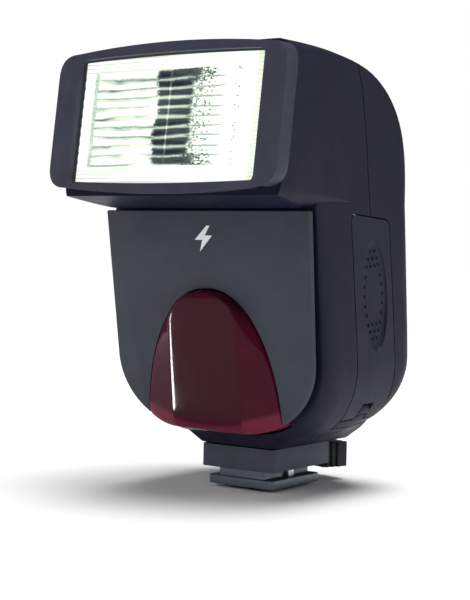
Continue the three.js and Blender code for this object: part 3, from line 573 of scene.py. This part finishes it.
def metal(name, color, rough=0.3, grain=0.3, depth=0.004, stretch=(1, 1, 1), vary=0.1):
    """Brushed or cast metal: slow staining and marks that may run one way."""
    mat, tree, bsdf = shader(name)
    bsdf.inputs["Metallic"].default_value = 1
    marks = noise(tree, grain, 4, 0.6, stretch)
    stain = noise(tree, 5, 4, 0.6)
    low = tuple(c * (1 - vary) for c in color)
    tree.links.new(ramp(tree, stain, (0.3, low), (0.7, color)), bsdf.inputs["Base Color"])
    tree.links.new(span(tree, marks, rough - 0.08, rough + 0.1), bsdf.inputs["Roughness"])
    bump(tree, bsdf, (marks, depth))
    return mat


# ---- shell surfaces -----------------------------------------------------------------------------
def quarter(t, power=2):
    """Height of a rounded quarter at a share t of its width: 1 at its root, 0 at its tip."""
    return max(0.0, 1 - min(1.0, max(0.0, t)) ** power) ** (1 / power)


def panel_face(z):
    """The leaning plane of the front cover's face."""
    return PANEL["face_y"] - PANEL["lean"] * (z - PANEL["face_z"])


def corner_half(full, corner, z, t=0):
    """Half width at a height, narrowing below the corner's top."""
    return full - corner["x"] + (corner["x"] - t) * quarter((corner["top"] - z) / (corner["z"] - t))


def rear_face(z, t=0):
    """The back of the body at a height, t inside it."""
    if z < REAR_ROUND["top"]:
        q = quarter((REAR_ROUND["top"] - z) / (REAR_ROUND["z"] - t))
        return BODY["rear"] - REAR_ROUND["y"] + (REAR_ROUND["y"] - t) * q
    if z < CROWN["z"]:
        return BODY["rear"] - BODY["rear_lean"] * (z - REAR_ROUND["top"]) - t
    return CROWN["y"] + (CROWN["depth"] - t) * quarter((z - CROWN["z"]) / (CROWN["rise"] - t), CROWN["power"])


def body_section(z, t=0, steps=SECTION_STEPS):
    """One level of the body, t inside it."""
    ease = min(1, max(0, (z - BODY["taper_from"]) / (CROWN["z"] - BODY["taper_from"])))
    crest = quarter((z - CROWN["z"] - CROWN["rise"] + HEAD["round"]) / (HEAD["round"] - t))
    full = BODY["side"] + (BODY["top_side"] - BODY["side"]) * ease - HEAD["round"] * (1 - crest)
    side = corner_half(full, SIDE_ROUND, z, t)
    front = min(side - 0.4, corner_half(BODY["front"], FRONT_ROUND, z, t))
    lip = BODY["lip_y"] * (1 - quarter((BODY["bottom"] + t + BODY["lip_z"] - z) / BODY["lip_z"]))
    y0 = panel_face(min(z, PANEL["top"])) + BODY["set_back"] + t + lip
    y1 = rear_face(z, t)
    low = 1 - quarter((SIDE_ROUND["top"] - z) / SIDE_ROUND["z"])
    r = min(BODY["rear_edge"] + BODY["rear_spread"] * low - t, side - 2)
    turns = [i / steps * math.pi / 2 for i in range(steps + 1)]
    right = [(front + (side - front) * math.sin(a), y0 + BODY["edge"] * (1 - math.cos(a))) for a in turns]
    right += [(side - r + r * math.cos(a), y1 - r + r * math.sin(a)) for a in turns]
    return mirrored(right)


def collar_section(z):
    """One level of the flare down to the foot block."""
    rows = COLLAR
    k = next((i for i in range(len(rows) - 2) if z <= rows[i + 1][0]), len(rows) - 2)
    f = (z - rows[k][0]) / (rows[k + 1][0] - rows[k][0])
    half, front, rear = (rows[k][i] + (rows[k + 1][i] - rows[k][i]) * f for i in (1, 2, 3))
    return round_rect(-half, half, front, rear, 2.5, 12)


def fill(points):
    """A closed outline with its long sides split into the same number of parts at every level."""
    out = []
    n = len(points)
    for i, a in enumerate(points):
        b = points[(i + 1) % n]
        parts = FRONT_PARTS if i in (n // 2 - 1, n - 1) else SIDE_PARTS if i in SECTION_SIDES else 1
        out += [(a[0] + (b[0] - a[0]) * k / parts, a[1] + (b[1] - a[1]) * k / parts) for k in range(parts)]
    return np.array(out)


def reach(outline, rays):
    """Distance from the origin to an outline along each ray."""
    p = np.array(outline)
    e = (np.roll(p, -1, axis=0) - p)[None]
    d = rays[:, None, :]
    cross = d[..., 0] * e[..., 1] - d[..., 1] * e[..., 0]
    cross = np.where(abs(cross) < 1e-9, 1e-9, cross)
    far = (p[None, :, 0] * e[..., 1] - p[None, :, 1] * e[..., 0]) / cross
    share = (p[None, :, 0] * d[..., 1] - p[None, :, 1] * d[..., 0]) / cross
    return np.where((share >= -1e-6) & (share <= 1 + 1e-6) & (far > 0), far, 0).max(axis=1)


def outer_body(name):
    """The body with its flared collar, blended smoothly, as one fine skin."""
    flare, base = FLARE, COLLAR[0][0]
    levels = [base + 0.35 * k for k in range(8)]
    levels += [SIDE_ROUND["top"] - SIDE_ROUND["z"] * math.cos(rad(a)) for a in range(2, 90, 3)]
    levels += [30.7, 34, 38, 42, 46, 50, 54, 58, 62, PANEL["top"], CROWN["z"]]
    levels += [CROWN["z"] + CROWN["rise"] * math.sin(rad(a)) for a in range(4, 78, 3)]
    rings = []
    for z in levels:
        ring = fill(body_section(max(z, BODY["bottom"])))
        if z < flare["end"]:
            wide = np.linalg.norm(ring, axis=1)
            rays = ring / wide[:, None]
            collar = reach(collar_section(min(z, flare["full"])), rays)
            collar -= max(0, z - flare["full"]) * flare["shrink"]
            if z < BODY["bottom"]:
                wide *= max(0, 1 - (BODY["bottom"] - z) / flare["gather"])
            near = np.clip(1 - abs(wide - collar) / flare["fillet"], 0, 1)
            fillet = flare["fillet"] / 4 * near ** 2 * min(1, (z - base) / flare["ease"])
            ring = rays * (np.maximum(wide, collar) + fillet)[:, None]
        rings.append([(x, y, z) for x, y in ring])
    return loft(name, rings)


def inner_body(name):
    """The hollow of the body and its collar, coarser than the outside."""
    t = WALL
    levels = [SIDE_ROUND["top"] - (SIDE_ROUND["z"] - t) * math.cos(rad(a)) for a in range(2, 90, 8)]
    levels += [30.7, 36, 52, PANEL["top"], CROWN["z"]]
    levels += [CROWN["z"] + (CROWN["rise"] - t) * math.sin(rad(a)) for a in range(9, 78, 8)]
    body = loft(name, [[(x, y, z) for x, y in body_section(z, t, 6)] for z in levels])
    rings = [[(x * 0.87, 4 + (y - 4) * 0.88, max(z, 11.6)) for x, y in collar_section(z)]
             for z in (9.8, 12.3, 17)]
    return join(body, loft("collar_inside", rings))


def head_box(name, t=0):
    """The overhanging lamp head, t inside its outer faces."""
    def face(z):
        return HEAD["y"] + HEAD["lean"] * (BEZEL["top"] - z) + t

    crown = []
    for a in range(66, 90, 2):
        z = CROWN["z"] + (CROWN["rise"] - t) * math.sin(rad(a))
        crown.append((min(rear_face(z, t), HEAD["taper_to"] - t), z))
    top = crown[-1][1]
    under, neck = HEAD["under"] + t, HEAD["neck_under"] + t
    side = [(face(top), top), (face(under), under), (-26, neck), (HEAD["taper_to"] - t, neck)] + crown
    half, rear = HEAD["half"] - t, HEAD["rear_half"] - t
    plan = [(-rear, HEAD["taper_to"]), (-half, HEAD["y"]), (-half, -42), (half, -42), (half, HEAD["y"]),
            (rear, HEAD["taper_to"]), (rear, 30), (-rear, 30)]
    box = both(prism(name, side, -35, 35, "x"), crown_mask(t))
    both(box, prism("head_front", round_rect(-half, half, neck, top, HEAD["round"] - t, 10), -50, 35, "y"))
    return both(box, prism("head_plan", plan, 50, 110, "z"))


def crown_mask(t, steps=16):
    """Open to the front and sides, rounded behind like the body."""
    rings = []
    for z in [60] + [CROWN["z"] + (CROWN["rise"] - t) * math.sin(rad(a)) for a in range(0, 90, 2)]:
        crest = quarter((z - CROWN["z"] - CROWN["rise"] + HEAD["round"]) / (HEAD["round"] - t))
        side = BODY["top_side"] - HEAD["round"] * (1 - crest) - t
        r, y1 = BODY["rear_edge"] - t, max(rear_face(z, t), -30)
        right = [(38, -60), (38, y1 - 36)]
        right += [(side - r + r * math.cos(rad(90 * i / steps)), y1 - r + r * math.sin(rad(90 * i / steps)))
                  for i in range(steps + 1)]
        rings.append([(x, y, z) for x, y in mirrored(right)])
    return loft("crown_mask", rings)


def beyond_parting(shift, behind):
    """Everything on one side of the line where the two shells meet."""
    far = 60 if behind else -60
    outline = [(y + shift, z) for y, z in PARTING] + [(far, 0), (far, 110)]
    return prism("parting", outline if behind else outline[::-1], -40, 40, "x")


def door_outline(g, low=-40, n=8):
    """The door's side view in its leaning frame, grown by g."""
    d = DOOR
    half, r, top_rear, top_front = d["half"], d["round"], d["top_rear"], d["top_front"]
    drop = 0.34  # how far the sloping top edge falls along a corner
    rear, front = (half + g, top_rear - r), (-half - g, top_front - r)
    start = (-half + r, top_front + g - drop)
    outline = [(-half - g, low), (half + g, low), rear]
    outline += curve(rear, (half + g, top_rear + g), (half - r, top_rear + g + drop), n)
    return outline + [start] + curve(start, (-half - g, top_front + g), front, n)


def door_block(g, x0, x1):
    return prism("door_block", door_outline(g), x0, x1, "x", DOOR_FRAME)


def window_half(z):
    """Half width of the red window's arch at a height."""
    t = (z - WINDOW["bottom"]) / (WINDOW["top"] - WINDOW["bottom"])
    return WINDOW["wide"] * quarter(t) ** 0.95


def window_outline(g, low=5, n=40):
    """The arch of the red window, open below, grown by g."""
    right = [(WINDOW["wide"] + g, low)]
    for k in range(n + 1):
        t = math.sin(k / n * math.pi / 2) * 0.999
        z = WINDOW["bottom"] + t * (WINDOW["top"] - WINDOW["bottom"])
        right.append((window_half(z) + g, z + g * t))
    return mirrored(right)


def panel_outline(t=0, n=28):
    """The front cover's outline, t inside it."""
    low, high = PANEL["bottom"] + t, PANEL["top"] - t
    right = []
    for k in range(n + 1):
        z = low + (PANEL["round"]["top"] - low) * (1 - math.cos(k / n * math.pi / 2))
        right.append((corner_half(PANEL["half"], PANEL["round"], z, t), z))
    right.append((PANEL["top_half"] - t, high))
    return mirrored(right)


def panel_slab(low, high, near, far):
    """A slab that leans with the cover's face, between two depths behind it."""
    corners = [(low, near), (low, far), (high, far), (high, near)]
    return prism("slab", [(panel_face(z) + depth, z) for z, depth in corners], -35, 35, "x")


def bezel_face(z, depth=0):
    return BEZEL["y"] + BEZEL["lean"] * (BEZEL["top"] - z) + depth


def head_slab(near, far):
    """A slab that leans with the bezel's face, between two depths behind it."""
    outline = [(bezel_face(z, d), z) for z, d in ((60, near), (60, far), (105, far), (105, near))]
    return prism("head_slab", outline, -40, 40, "x")


def arched_rect(half, low, high, r, rise, n=10):
    """A rounded outline whose top and bottom edges arch."""
    corners = [
        ((-half + r, low), (0, low - 2 * rise), (half - r, low)),
        ((half - r, low), (half, low), (half, low + r)),
        ((half, high - r), (half, high), (half - r, high)),
        ((half - r, high), (0, high + 2 * rise), (-half + r, high)),
        ((-half + r, high), (-half, high), (-half, high - r)),
        ((-half, low + r), (-half, low), (-half + r, low)),
    ]
    points = []
    for a, b, c in corners:
        if not points or points[-1] != a:
            points.append(a)
        points += curve(a, b, c, n)
    return points[:-1]


# ---- casing -------------------------------------------------------------------------------------
def make_shells():
    wall = join(outer_body("wall"), head_box("head"))
    cut(wall, join(inner_body("inside"), head_box("head_inside", WALL)))
    door = both(copy(wall, "door"), door_block(0, DOOR["inner"], 40))
    cut(wall, door_block(GAP, DOOR["inner"], 40))
    cut(wall, *[rod("bore", 1.3, 5, 20, x, y, "z", 20) for x, y in FOOT_SCREWS])
    front = cut(copy(wall, "front"), beyond_parting(-0.16, True),
                prism("lamp_hole", round_rect(-26.6, 26.6, 69, 97, 2), -45, -31, "y"),
                both(prism("window_hole", window_outline(GAP), -40, -10, "y"),
                    prism("above_edge", panel_outline(-0.6), -40, -10, "y")))
    rear = cut(wall, beyond_parting(0.16, False),
               prism("panel_hole", round_rect(-20.3, 20.3, -17.3, 16.3, 3), -8, 8, "y", BACK_FRAME))
    piece(biggest(front), "front_shell", "housing", "shell", M["shell"], "front_housing")
    piece(biggest(rear), "rear_shell", "housing", "shell", M["shell"], "rear_housing")
    make_door(door)


def biggest(obj):
    """Keeps the largest loose part of a mesh and shades it."""
    bm = bmesh.new()
    bm.from_mesh(obj.data)
    left, parts = set(bm.verts), []
    while left:
        stack = [left.pop()]
        part = set(stack)
        while stack:
            for edge in stack.pop().link_edges:
                for vert in edge.verts:
                    if vert not in part:
                        part.add(vert)
                        stack.append(vert)
        left -= part
        parts.append(part)
    keep = max(parts, key=len)
    bmesh.ops.delete(bm, geom=[v for v in bm.verts if v not in keep], context="VERTS")
    bm.to_mesh(obj.data)
    bm.free()
    return shade(obj, 30)


def about_hinge(radius, low, high, n=40):
    """A rod on the door's hinge axis."""
    return rod("hinge_cut", radius, HINGE["y"] + low, HINGE["y"] + high, HINGE["x"], HINGE["z"], "y", n)


def dish_ring(scale, x, n=72):
    """One level of the oval thumb dish, narrower towards its floor."""
    d = DISH
    wide, tall = d["wide"] * scale, d["tall"] * (1 + (scale - 1) * 0.45)
    return [(x, d["y"] + wide * math.cos(a), d["z"] + tall * math.sin(a))
            for a in (rad(360 * i / n) for i in range(n))]


def make_door(door):
    """The door's shell with its dish and dots, hinge barrel, and posts for the contact plate."""
    h, floor = DOOR["half"], DISH["floor"]
    levels = ((0.93, floor), (0.98, floor + 0.12), (1, floor + 0.3), (1.06, 30))
    dish = loft("dish", [dish_ring(scale, x) for scale, x in levels])
    dish.data.transform(DOOR_FRAME)
    cut(door, block("tip", 10, HINGE["x"], -15, 20, 0, HINGE["z"] + 1.6), dish)
    join(door, about_hinge(HINGE["barrel"], -h + 0.3, h - 0.3),
         *[block("post", SPRING_FACE + 1.05, 27.9, -5, 5, w - 0.5, w + 0.5, DOOR_FRAME) for w in (-12, 8)])
    cut(door, about_hinge(HINGE["pin"] + 0.3, -h + 0.8, 12, 24), about_hinge(HINGE["sweep"], -2.35, 2.35))
    for y, z in dot_places():
        dot = rod("dot", 0.42, floor - 0.3, floor + 0.34, y, z, "x", 14, DOOR_FRAME)
        join(door, soften(dot, 0.2, 3))
    piece(biggest(door), "battery_door_shell", "door", "shell", M["door"], "battery_door")


def dot_places():
    """Grip dots: a row down each side of the dish and a cluster at each end."""
    d = DISH
    places = [(d["y"] + side * 3.9 * math.cos(rad(18 * k)), d["z"] + 2.15 * k)
              for side in (-1, 1) for k in range(-2, 3)]
    for end in (-1, 1):
        for row, count in ((6.6, 4), (8.3, 3), (9.9, 2)):
            places += [(d["y"] + (i - (count - 1) / 2) * 1.75, d["z"] + end * row) for i in range(count)]
    return places


def make_front_panel():
    """The proud cover plate with its narrower neck behind, and a plain bolt printed on it."""
    plate = both(prism("plate", panel_outline(), -40, 0, "y"), panel_slab(10, 70, 0, 2))
    neck = both(prism("neck", panel_outline(PANEL["neck"]), -40, 0, "y"), panel_slab(10, 70, 1.5, 2.85))
    join(soften(plate, 0.45, 3, 50), neck)
    cut(plate, prism("window_gap", window_outline(GAP), -40, -5, "y"))
    piece(shade(plate, 30), "front_cover", "housing", "front_cover", M["front_cover"], "front_panel")
    mark = [(0.9, 60.4), (-2.6, 57.2), (-0.5, 57.2), (-1.3, 54.6), (2.3, 58.2), (0.3, 58.2), (1.7, 60.4)]
    bolt = both(prism("bolt", mark, -40, 0, "y"), panel_slab(50, 70, -0.03, 0.3))
    piece(bolt, "bolt_mark", "housing", "front_cover", M["print_white"])


def window_row(z):
    """Half of one level of the window: (x, y) from the middle outwards."""
    w = WINDOW
    (crest, crest_length, crest_power), (brow, brow_length, brow_power) = w["crest"], w["brow"]
    t = (z - w["bottom"]) / (w["top"] - w["bottom"])
    arch = window_half(max(z, w["bottom"]))
    half = min(arch, corner_half(PANEL["half"], PANEL["round"], max(z, PANEL["bottom"])) + 0.3)
    foot = quarter((w["foot"] - t) / w["foot"])
    flat = max(0.05, min(arch - 0.4, w["plateau"] * quarter((z - crest) / crest_length, crest_power)))
    proud = w["proud"] * min(quarter((z - brow) / brow_length, brow_power), 0.25 + 0.75 * foot)
    edge = min(0.7, half * 0.2, flat * 0.5)
    xs = [flat * k / 5 for k in range(5)] + [flat - edge + edge * k / 4 for k in range(8)]
    xs = [x for x in xs if x < half - 0.8]
    start = xs[-1]
    xs += [start + (half - start) * math.sin(math.pi / 2 * k / 14) for k in range(1, 15)]
    row = []
    for x in xs:
        share = min(1, max(0, (arch - x) / max(arch - flat, 0.01)))
        if abs(x - flat) < edge:
            share = 1 - (x - flat + edge) ** 2 / (4 * edge * max(arch - flat, 0.01))
        y = panel_face(z) - w["rim"] - proud * share
        row.append((x, y + rim_round(x, z, half)))
    return row


def rim_round(x, z, half):
    """How far the face turns back near the lower outline."""
    r, edge = 1.5, 0.35
    c = PANEL["round"]
    sx, sz = c["x"] + 0.3, c["z"] + 0.3
    u, v = max(0, x - (PANEL["half"] - c["x"])) / sx, max(0, c["top"] - z) / sz
    inside = (1 - math.hypot(u, v)) * sz
    near = min(max(inside, 0), r)
    side = min(max(half - x, 0), edge)
    return 0.8 * (r - math.sqrt(r * r - (r - near) ** 2)) + edge - math.sqrt(edge ** 2 - (edge - side) ** 2)


def make_window():
    """The red window: a flat plateau that falls away to its flanks, hollow behind for its lamp."""
    b, top = PANEL["bottom"] - 0.3, WINDOW["top"] - 0.15
    levels = [b + rise for rise in (0.01, 0.06, 0.15, 0.3, 0.5, 0.75, 1.05, 1.4, 1.8, 2.3, 2.9)]
    levels += [b + 3.5 + (top - b - 3.5) * math.sin(rad(90 * k / 46)) for k in range(47)]
    n = max(len(window_row(z)) for z in levels)
    rings = []
    for z in levels:
        row = spread(window_row(z), n)
        back = panel_face(z) + 6.2
        half = row[-1][0]
        front = [(-x, y) for x, y in reversed(row)] + row[1:]
        rings.append([(x, y, z) for x, y in front + [(half, back), (-half, back)]])
    win = loft("window", rings)
    cut(win, block("lamp_room", -7.5, 7.5, -21, -10, 21, 38))
    piece(shade(win, 40), "lamp_window", "housing", "red_lens", M["red_lens"], "af_window")
    EDGE_LIT.objects.link(win)


def spread(row, n):
    """The same polyline with n points, split evenly by index."""
    if len(row) == n:
        return row
    out = []
    for i in range(n):
        f = i * (len(row) - 1) / (n - 1)
        k = min(int(f), len(row) - 2)
        out.append(tuple(row[k][j] + (row[k + 1][j] - row[k][j]) * (f - k) for j in (0, 1)))
    return out


# ---- lamp head ----------------------------------------------------------------------------------
def make_bezel():
    """The lamp's frame: an arched outline with slanted cheeks and a stepped seat for the lens."""
    b, lens, y = BEZEL, LENS, BEZEL["y"]
    rounding = lens["corner"], lens["arch"]
    outside = arched_rect(b["half"], b["bottom"] + 0.7, b["top"] - 0.9, 5, 1.4)
    frame_body = both(prism("bezel", outside, -50, -20, "y"), head_slab(0, b["depth"] - 0.35))

    turn, side, cheek = 2.2, b["half"] + 0.5, b["cheek"]
    bend = [(cheek + (b["half"] - cheek) * math.sin(rad(a)), y - turn + turn * (1 - math.cos(rad(a))))
            for a in range(0, 91, 15)]
    plan = [(-x, v) for x, v in reversed(bend)] + bend + [(side, y), (side, -20), (-side, -20), (-side, y)]
    cheeks = prism("cheeks", plan, 50, 110, "z")
    shear = Matrix.Identity(4)
    shear[1][2], shear[1][3] = -b["lean"], b["lean"] * b["top"] * MM
    cheeks.data.transform(shear)
    both(frame_body, cheeks)

    opening = arched_rect(lens["half"], lens["bottom"], lens["top"], *rounding)
    cut(frame_body, prism("opening", opening, -50, -20, "y"))
    seat = arched_rect(27.4, lens["bottom"] - 1.2, lens["top"] + 1.2, *rounding)
    cut(frame_body, both(prism("seat", seat, -50, -20, "y"), head_slab(lens["recess"], 12)))
    piece(soften(frame_body, 0.4, 3, 40), "lamp_bezel", "housing", "shell", M["bezel"], "flash_bezel")


def make_lens():
    """The lens pane, with its ribs in the front face."""
    near, far = LENS["recess"] + 0.35, LENS["recess"] + 1.95
    levels = [66 + 0.12 * k for k in range(280)]
    profile = [(bezel_face(z, near + rib_depth(z)), z) for z in levels]
    profile += [(bezel_face(z, far), z) for z in (levels[-1], levels[0])]
    pane = prism("pane", profile[::-1], -40, 40, "x")
    outline = arched_rect(26.4, LENS["bottom"] - 0.7, LENS["top"] + 0.7, 1.2, LENS["arch"])
    both(pane, prism("outline", outline, -50, -20, "y"))
    piece(shade(pane, 50), "lens_pane", "housing", "fresnel", M["fresnel"], "flash_lens")


def rib_depth(z):
    """Ribs of the lens: broad over the lamp and fine above and below it."""
    r = LENS_ROWS
    if r["low"] < z < r["high"]:
        return 0.16 * (1 - abs(math.cos(math.pi * (z - r["low"]) / r["pitch"])))
    return 0.05 * (1 - abs(math.cos(math.pi * (z - r["low"]) / r["border"])))


# ---- smaller pieces: copies of CAD nodes with softened edges, and nodes carried over as they are --
SOFTENED = [
    # node, body, slot, material, rounding in mm
    ("control_panel", "housing", "control_cover", "control_cover", 0.3),
    ("lcd_window", "housing", "screen_glass", "screen_glass", 0.15),
    ("shoe_foot", "housing", "foot_metal", "foot_metal", 0.35),
    ("contact_carrier", "housing", "black_plastic", "black_plastic", 0.15),
    # the foot block wears a lighter copy of the black plastic: painted light
    ("foot_block", "housing", "black_plastic", "block_painted_light", 0.5),
    # the lever wears a darker copy of the black plastic: painted shade
    ("lock_lever", "lever", "black_plastic", "lever", 0.25),
    ("door_slider", "door_carriage", "shell", "shell", 0.2),
    ("power_switch", "power_knob", "black_plastic", "black_plastic", 0.18),
    ("test_button", "test_key", "key_rubber", "key_rubber", 0.25),
    ("mode_button", "mode_key", "key_rubber", "key_rubber", 0.25),
    ("light_button", "light_key", "key_rubber", "key_rubber", 0.25),
    ("minus_button", "minus_key", "key_rubber", "key_rubber", 0.25),
    ("plus_button", "plus_key", "key_rubber", "key_rubber", 0.25),
    ("ready_lamp", "housing", "red_lens", "lamp_red", 0.2),
    ("main_capacitor", "housing", "capacitor_sleeve", "capacitor_sleeve", 0.8),
    ("reflector", "housing", "reflector_metal", "reflector_metal", 0.1),
    ("battery_cradle", "housing", "black_plastic", "black_plastic", 0.2),
]
CARRIED = {
    "flash_tube": "tube_glass", "tube_sleeve_left": "sleeve_rubber", "tube_sleeve_right": "sleeve_rubber",
    "trigger_coil": "coil", "main_board": "circuit_board", "converter_transformer": "coil",
    "af_led_board": "circuit_board", "af_led": "tube_glass", "battery_cell_1": "cell_sleeve",
    "battery_cell_2": "cell_sleeve", "battery_cell_3": "cell_sleeve", "battery_cell_4": "cell_sleeve",
    "cell_contact_plate": "contact_steel", "lcd_module": "screen", "display_board": "circuit_board",
    "side_ground_contact": "contact_steel", "lever_pivot": "steel", "foot_screw_1": "steel",
    "foot_screw_2": "steel", "foot_screw_3": "steel", "foot_screw_4": "steel", "door_hinge_pin": "steel",
    "door_contact_plate": "contact_steel", "lock_pin": "steel", "centre_contact": "contact_brass",
    "data_contact_left": "contact_brass", "data_contact_middle": "contact_brass",
    "data_contact_right": "contact_brass",
}


def make_small_pieces():
    for node, body, slot, material, rounding in SOFTENED:
        obj = soften(node_copy(node, node + "_finished"), rounding, 3, 40)
        piece(obj, node + "_finished", body, slot, M[material], node)
    for node, material in CARRIED.items():
        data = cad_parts[node].data
        data.materials.clear()
        data.materials.append(M[material])


# ---- the materials in use -----------------------------------------------------------------------
def make_materials():
    dark = (0.0102, 0.0094, 0.0265)
    return {
        "shell": moulded("shell", dark, 0.5, 0.22, 0.010, specular=0.14),
        # door: the shell's plastic painted lighter, standing in for the light the door catches from behind
        "door": moulded("door", (0.0145, 0.0142, 0.0335), 0.5, 0.22, 0.012, specular=0.15),
        # bezel: a lighter copy of the shell's plastic, painted light on the lamp frame
        "bezel": moulded("bezel", (0.046, 0.048, 0.072), 0.42, 0.22, 0.008, specular=0.14),
        "front_cover": moulded("front_cover", (0.056, 0.061, 0.079), 0.42, 0.2, 0.004, 0.06, 0.08),
        "control_cover": moulded("control_cover", (0.020, 0.021, 0.025), 0.4, 0.2, 0.005, 0.08, 0.3),
        "print_white": moulded("print_white", (0.8, 0.81, 0.82), 0.5, 0.15, 0.002, 0.04, 0.3),
        "red_lens": red_window("red_lens"),
        "lamp_red": moulded("lamp_red", (0.45, 0.03, 0.02), 0.2, 0.6, 0.002, 0.1, 0.5),
        "fresnel": fresnel_lens("fresnel"),
        "reflector_metal": metal("reflector_metal", (0.86, 0.87, 0.89), 0.16, 0.4, 0.004, (0.1, 1, 1)),
        "tube_glass": moulded("tube_glass", (0.80, 0.86, 0.90), 0.06, 0.8, 0.001, 0.04, 0.6),
        "screen_glass": moulded("screen_glass", (0.10, 0.115, 0.10), 0.08, 1.5, 0.001, 0.08, 0.5),
        "screen": moulded("screen", (0.26, 0.30, 0.22), 0.25, 0.4, 0.002, 0.06, 0.4),
        "sleeve_rubber": moulded("sleeve_rubber", (0.018, 0.018, 0.020), 0.8, 0.3, 0.02, 0.2, 0.3),
        "capacitor_sleeve": moulded("capacitor_sleeve", (0.012, 0.012, 0.016), 0.35, 0.5, 0.004, 0.15, 0.4),
        "coil": moulded("coil", (0.30, 0.11, 0.04), 0.4, 0.25, 0.03, 0.25, 0.5),
        "circuit_board": moulded("circuit_board", (0.012, 0.10, 0.045), 0.45, 0.8, 0.02, 0.25, 0.4, 3),
        "black_plastic": moulded("black_plastic", (0.028, 0.031, 0.048), 0.5, 0.25, 0.012, 0.12, 0.12),
        # the foot block's black plastic painted lighter, standing in for the light on its front
        "block_painted_light": moulded("block_painted_light", (0.075, 0.082, 0.112), 0.45, 0.25, 0.010, 0.1, 0.12),
        # the lever's black plastic painted darker, standing in for the shade on its recessed face
        "lever": moulded("lever", (0.011, 0.011, 0.018), 0.42, 0.25, 0.012, 0.15, 0.3),
        "contact_steel": metal("contact_steel", (0.62, 0.62, 0.60), 0.28, 0.25, 0.004, (1, 1, 0.1)),
        "steel": metal("steel", (0.50, 0.51, 0.53), 0.3, 0.2, 0.004, (1, 0.2, 1)),
        "foot_metal": metal("foot_metal", (0.20, 0.225, 0.265), 0.42, 0.35, 0.02),
        "contact_brass": metal("contact_brass", (0.80, 0.58, 0.24), 0.25, 0.2, 0.003),
        "cell_sleeve": battery("cell_sleeve"),
        "key_rubber": moulded("key_rubber", (0.030, 0.031, 0.034), 0.6, 0.18, 0.014, 0.15, 0.3),
    }


# ---- assembly -----------------------------------------------------------------------------------
M = make_materials()
make_camera()
make_stage()
make_shells()
make_front_panel()
make_window()
make_bezel()
make_lens()
make_small_pieces()
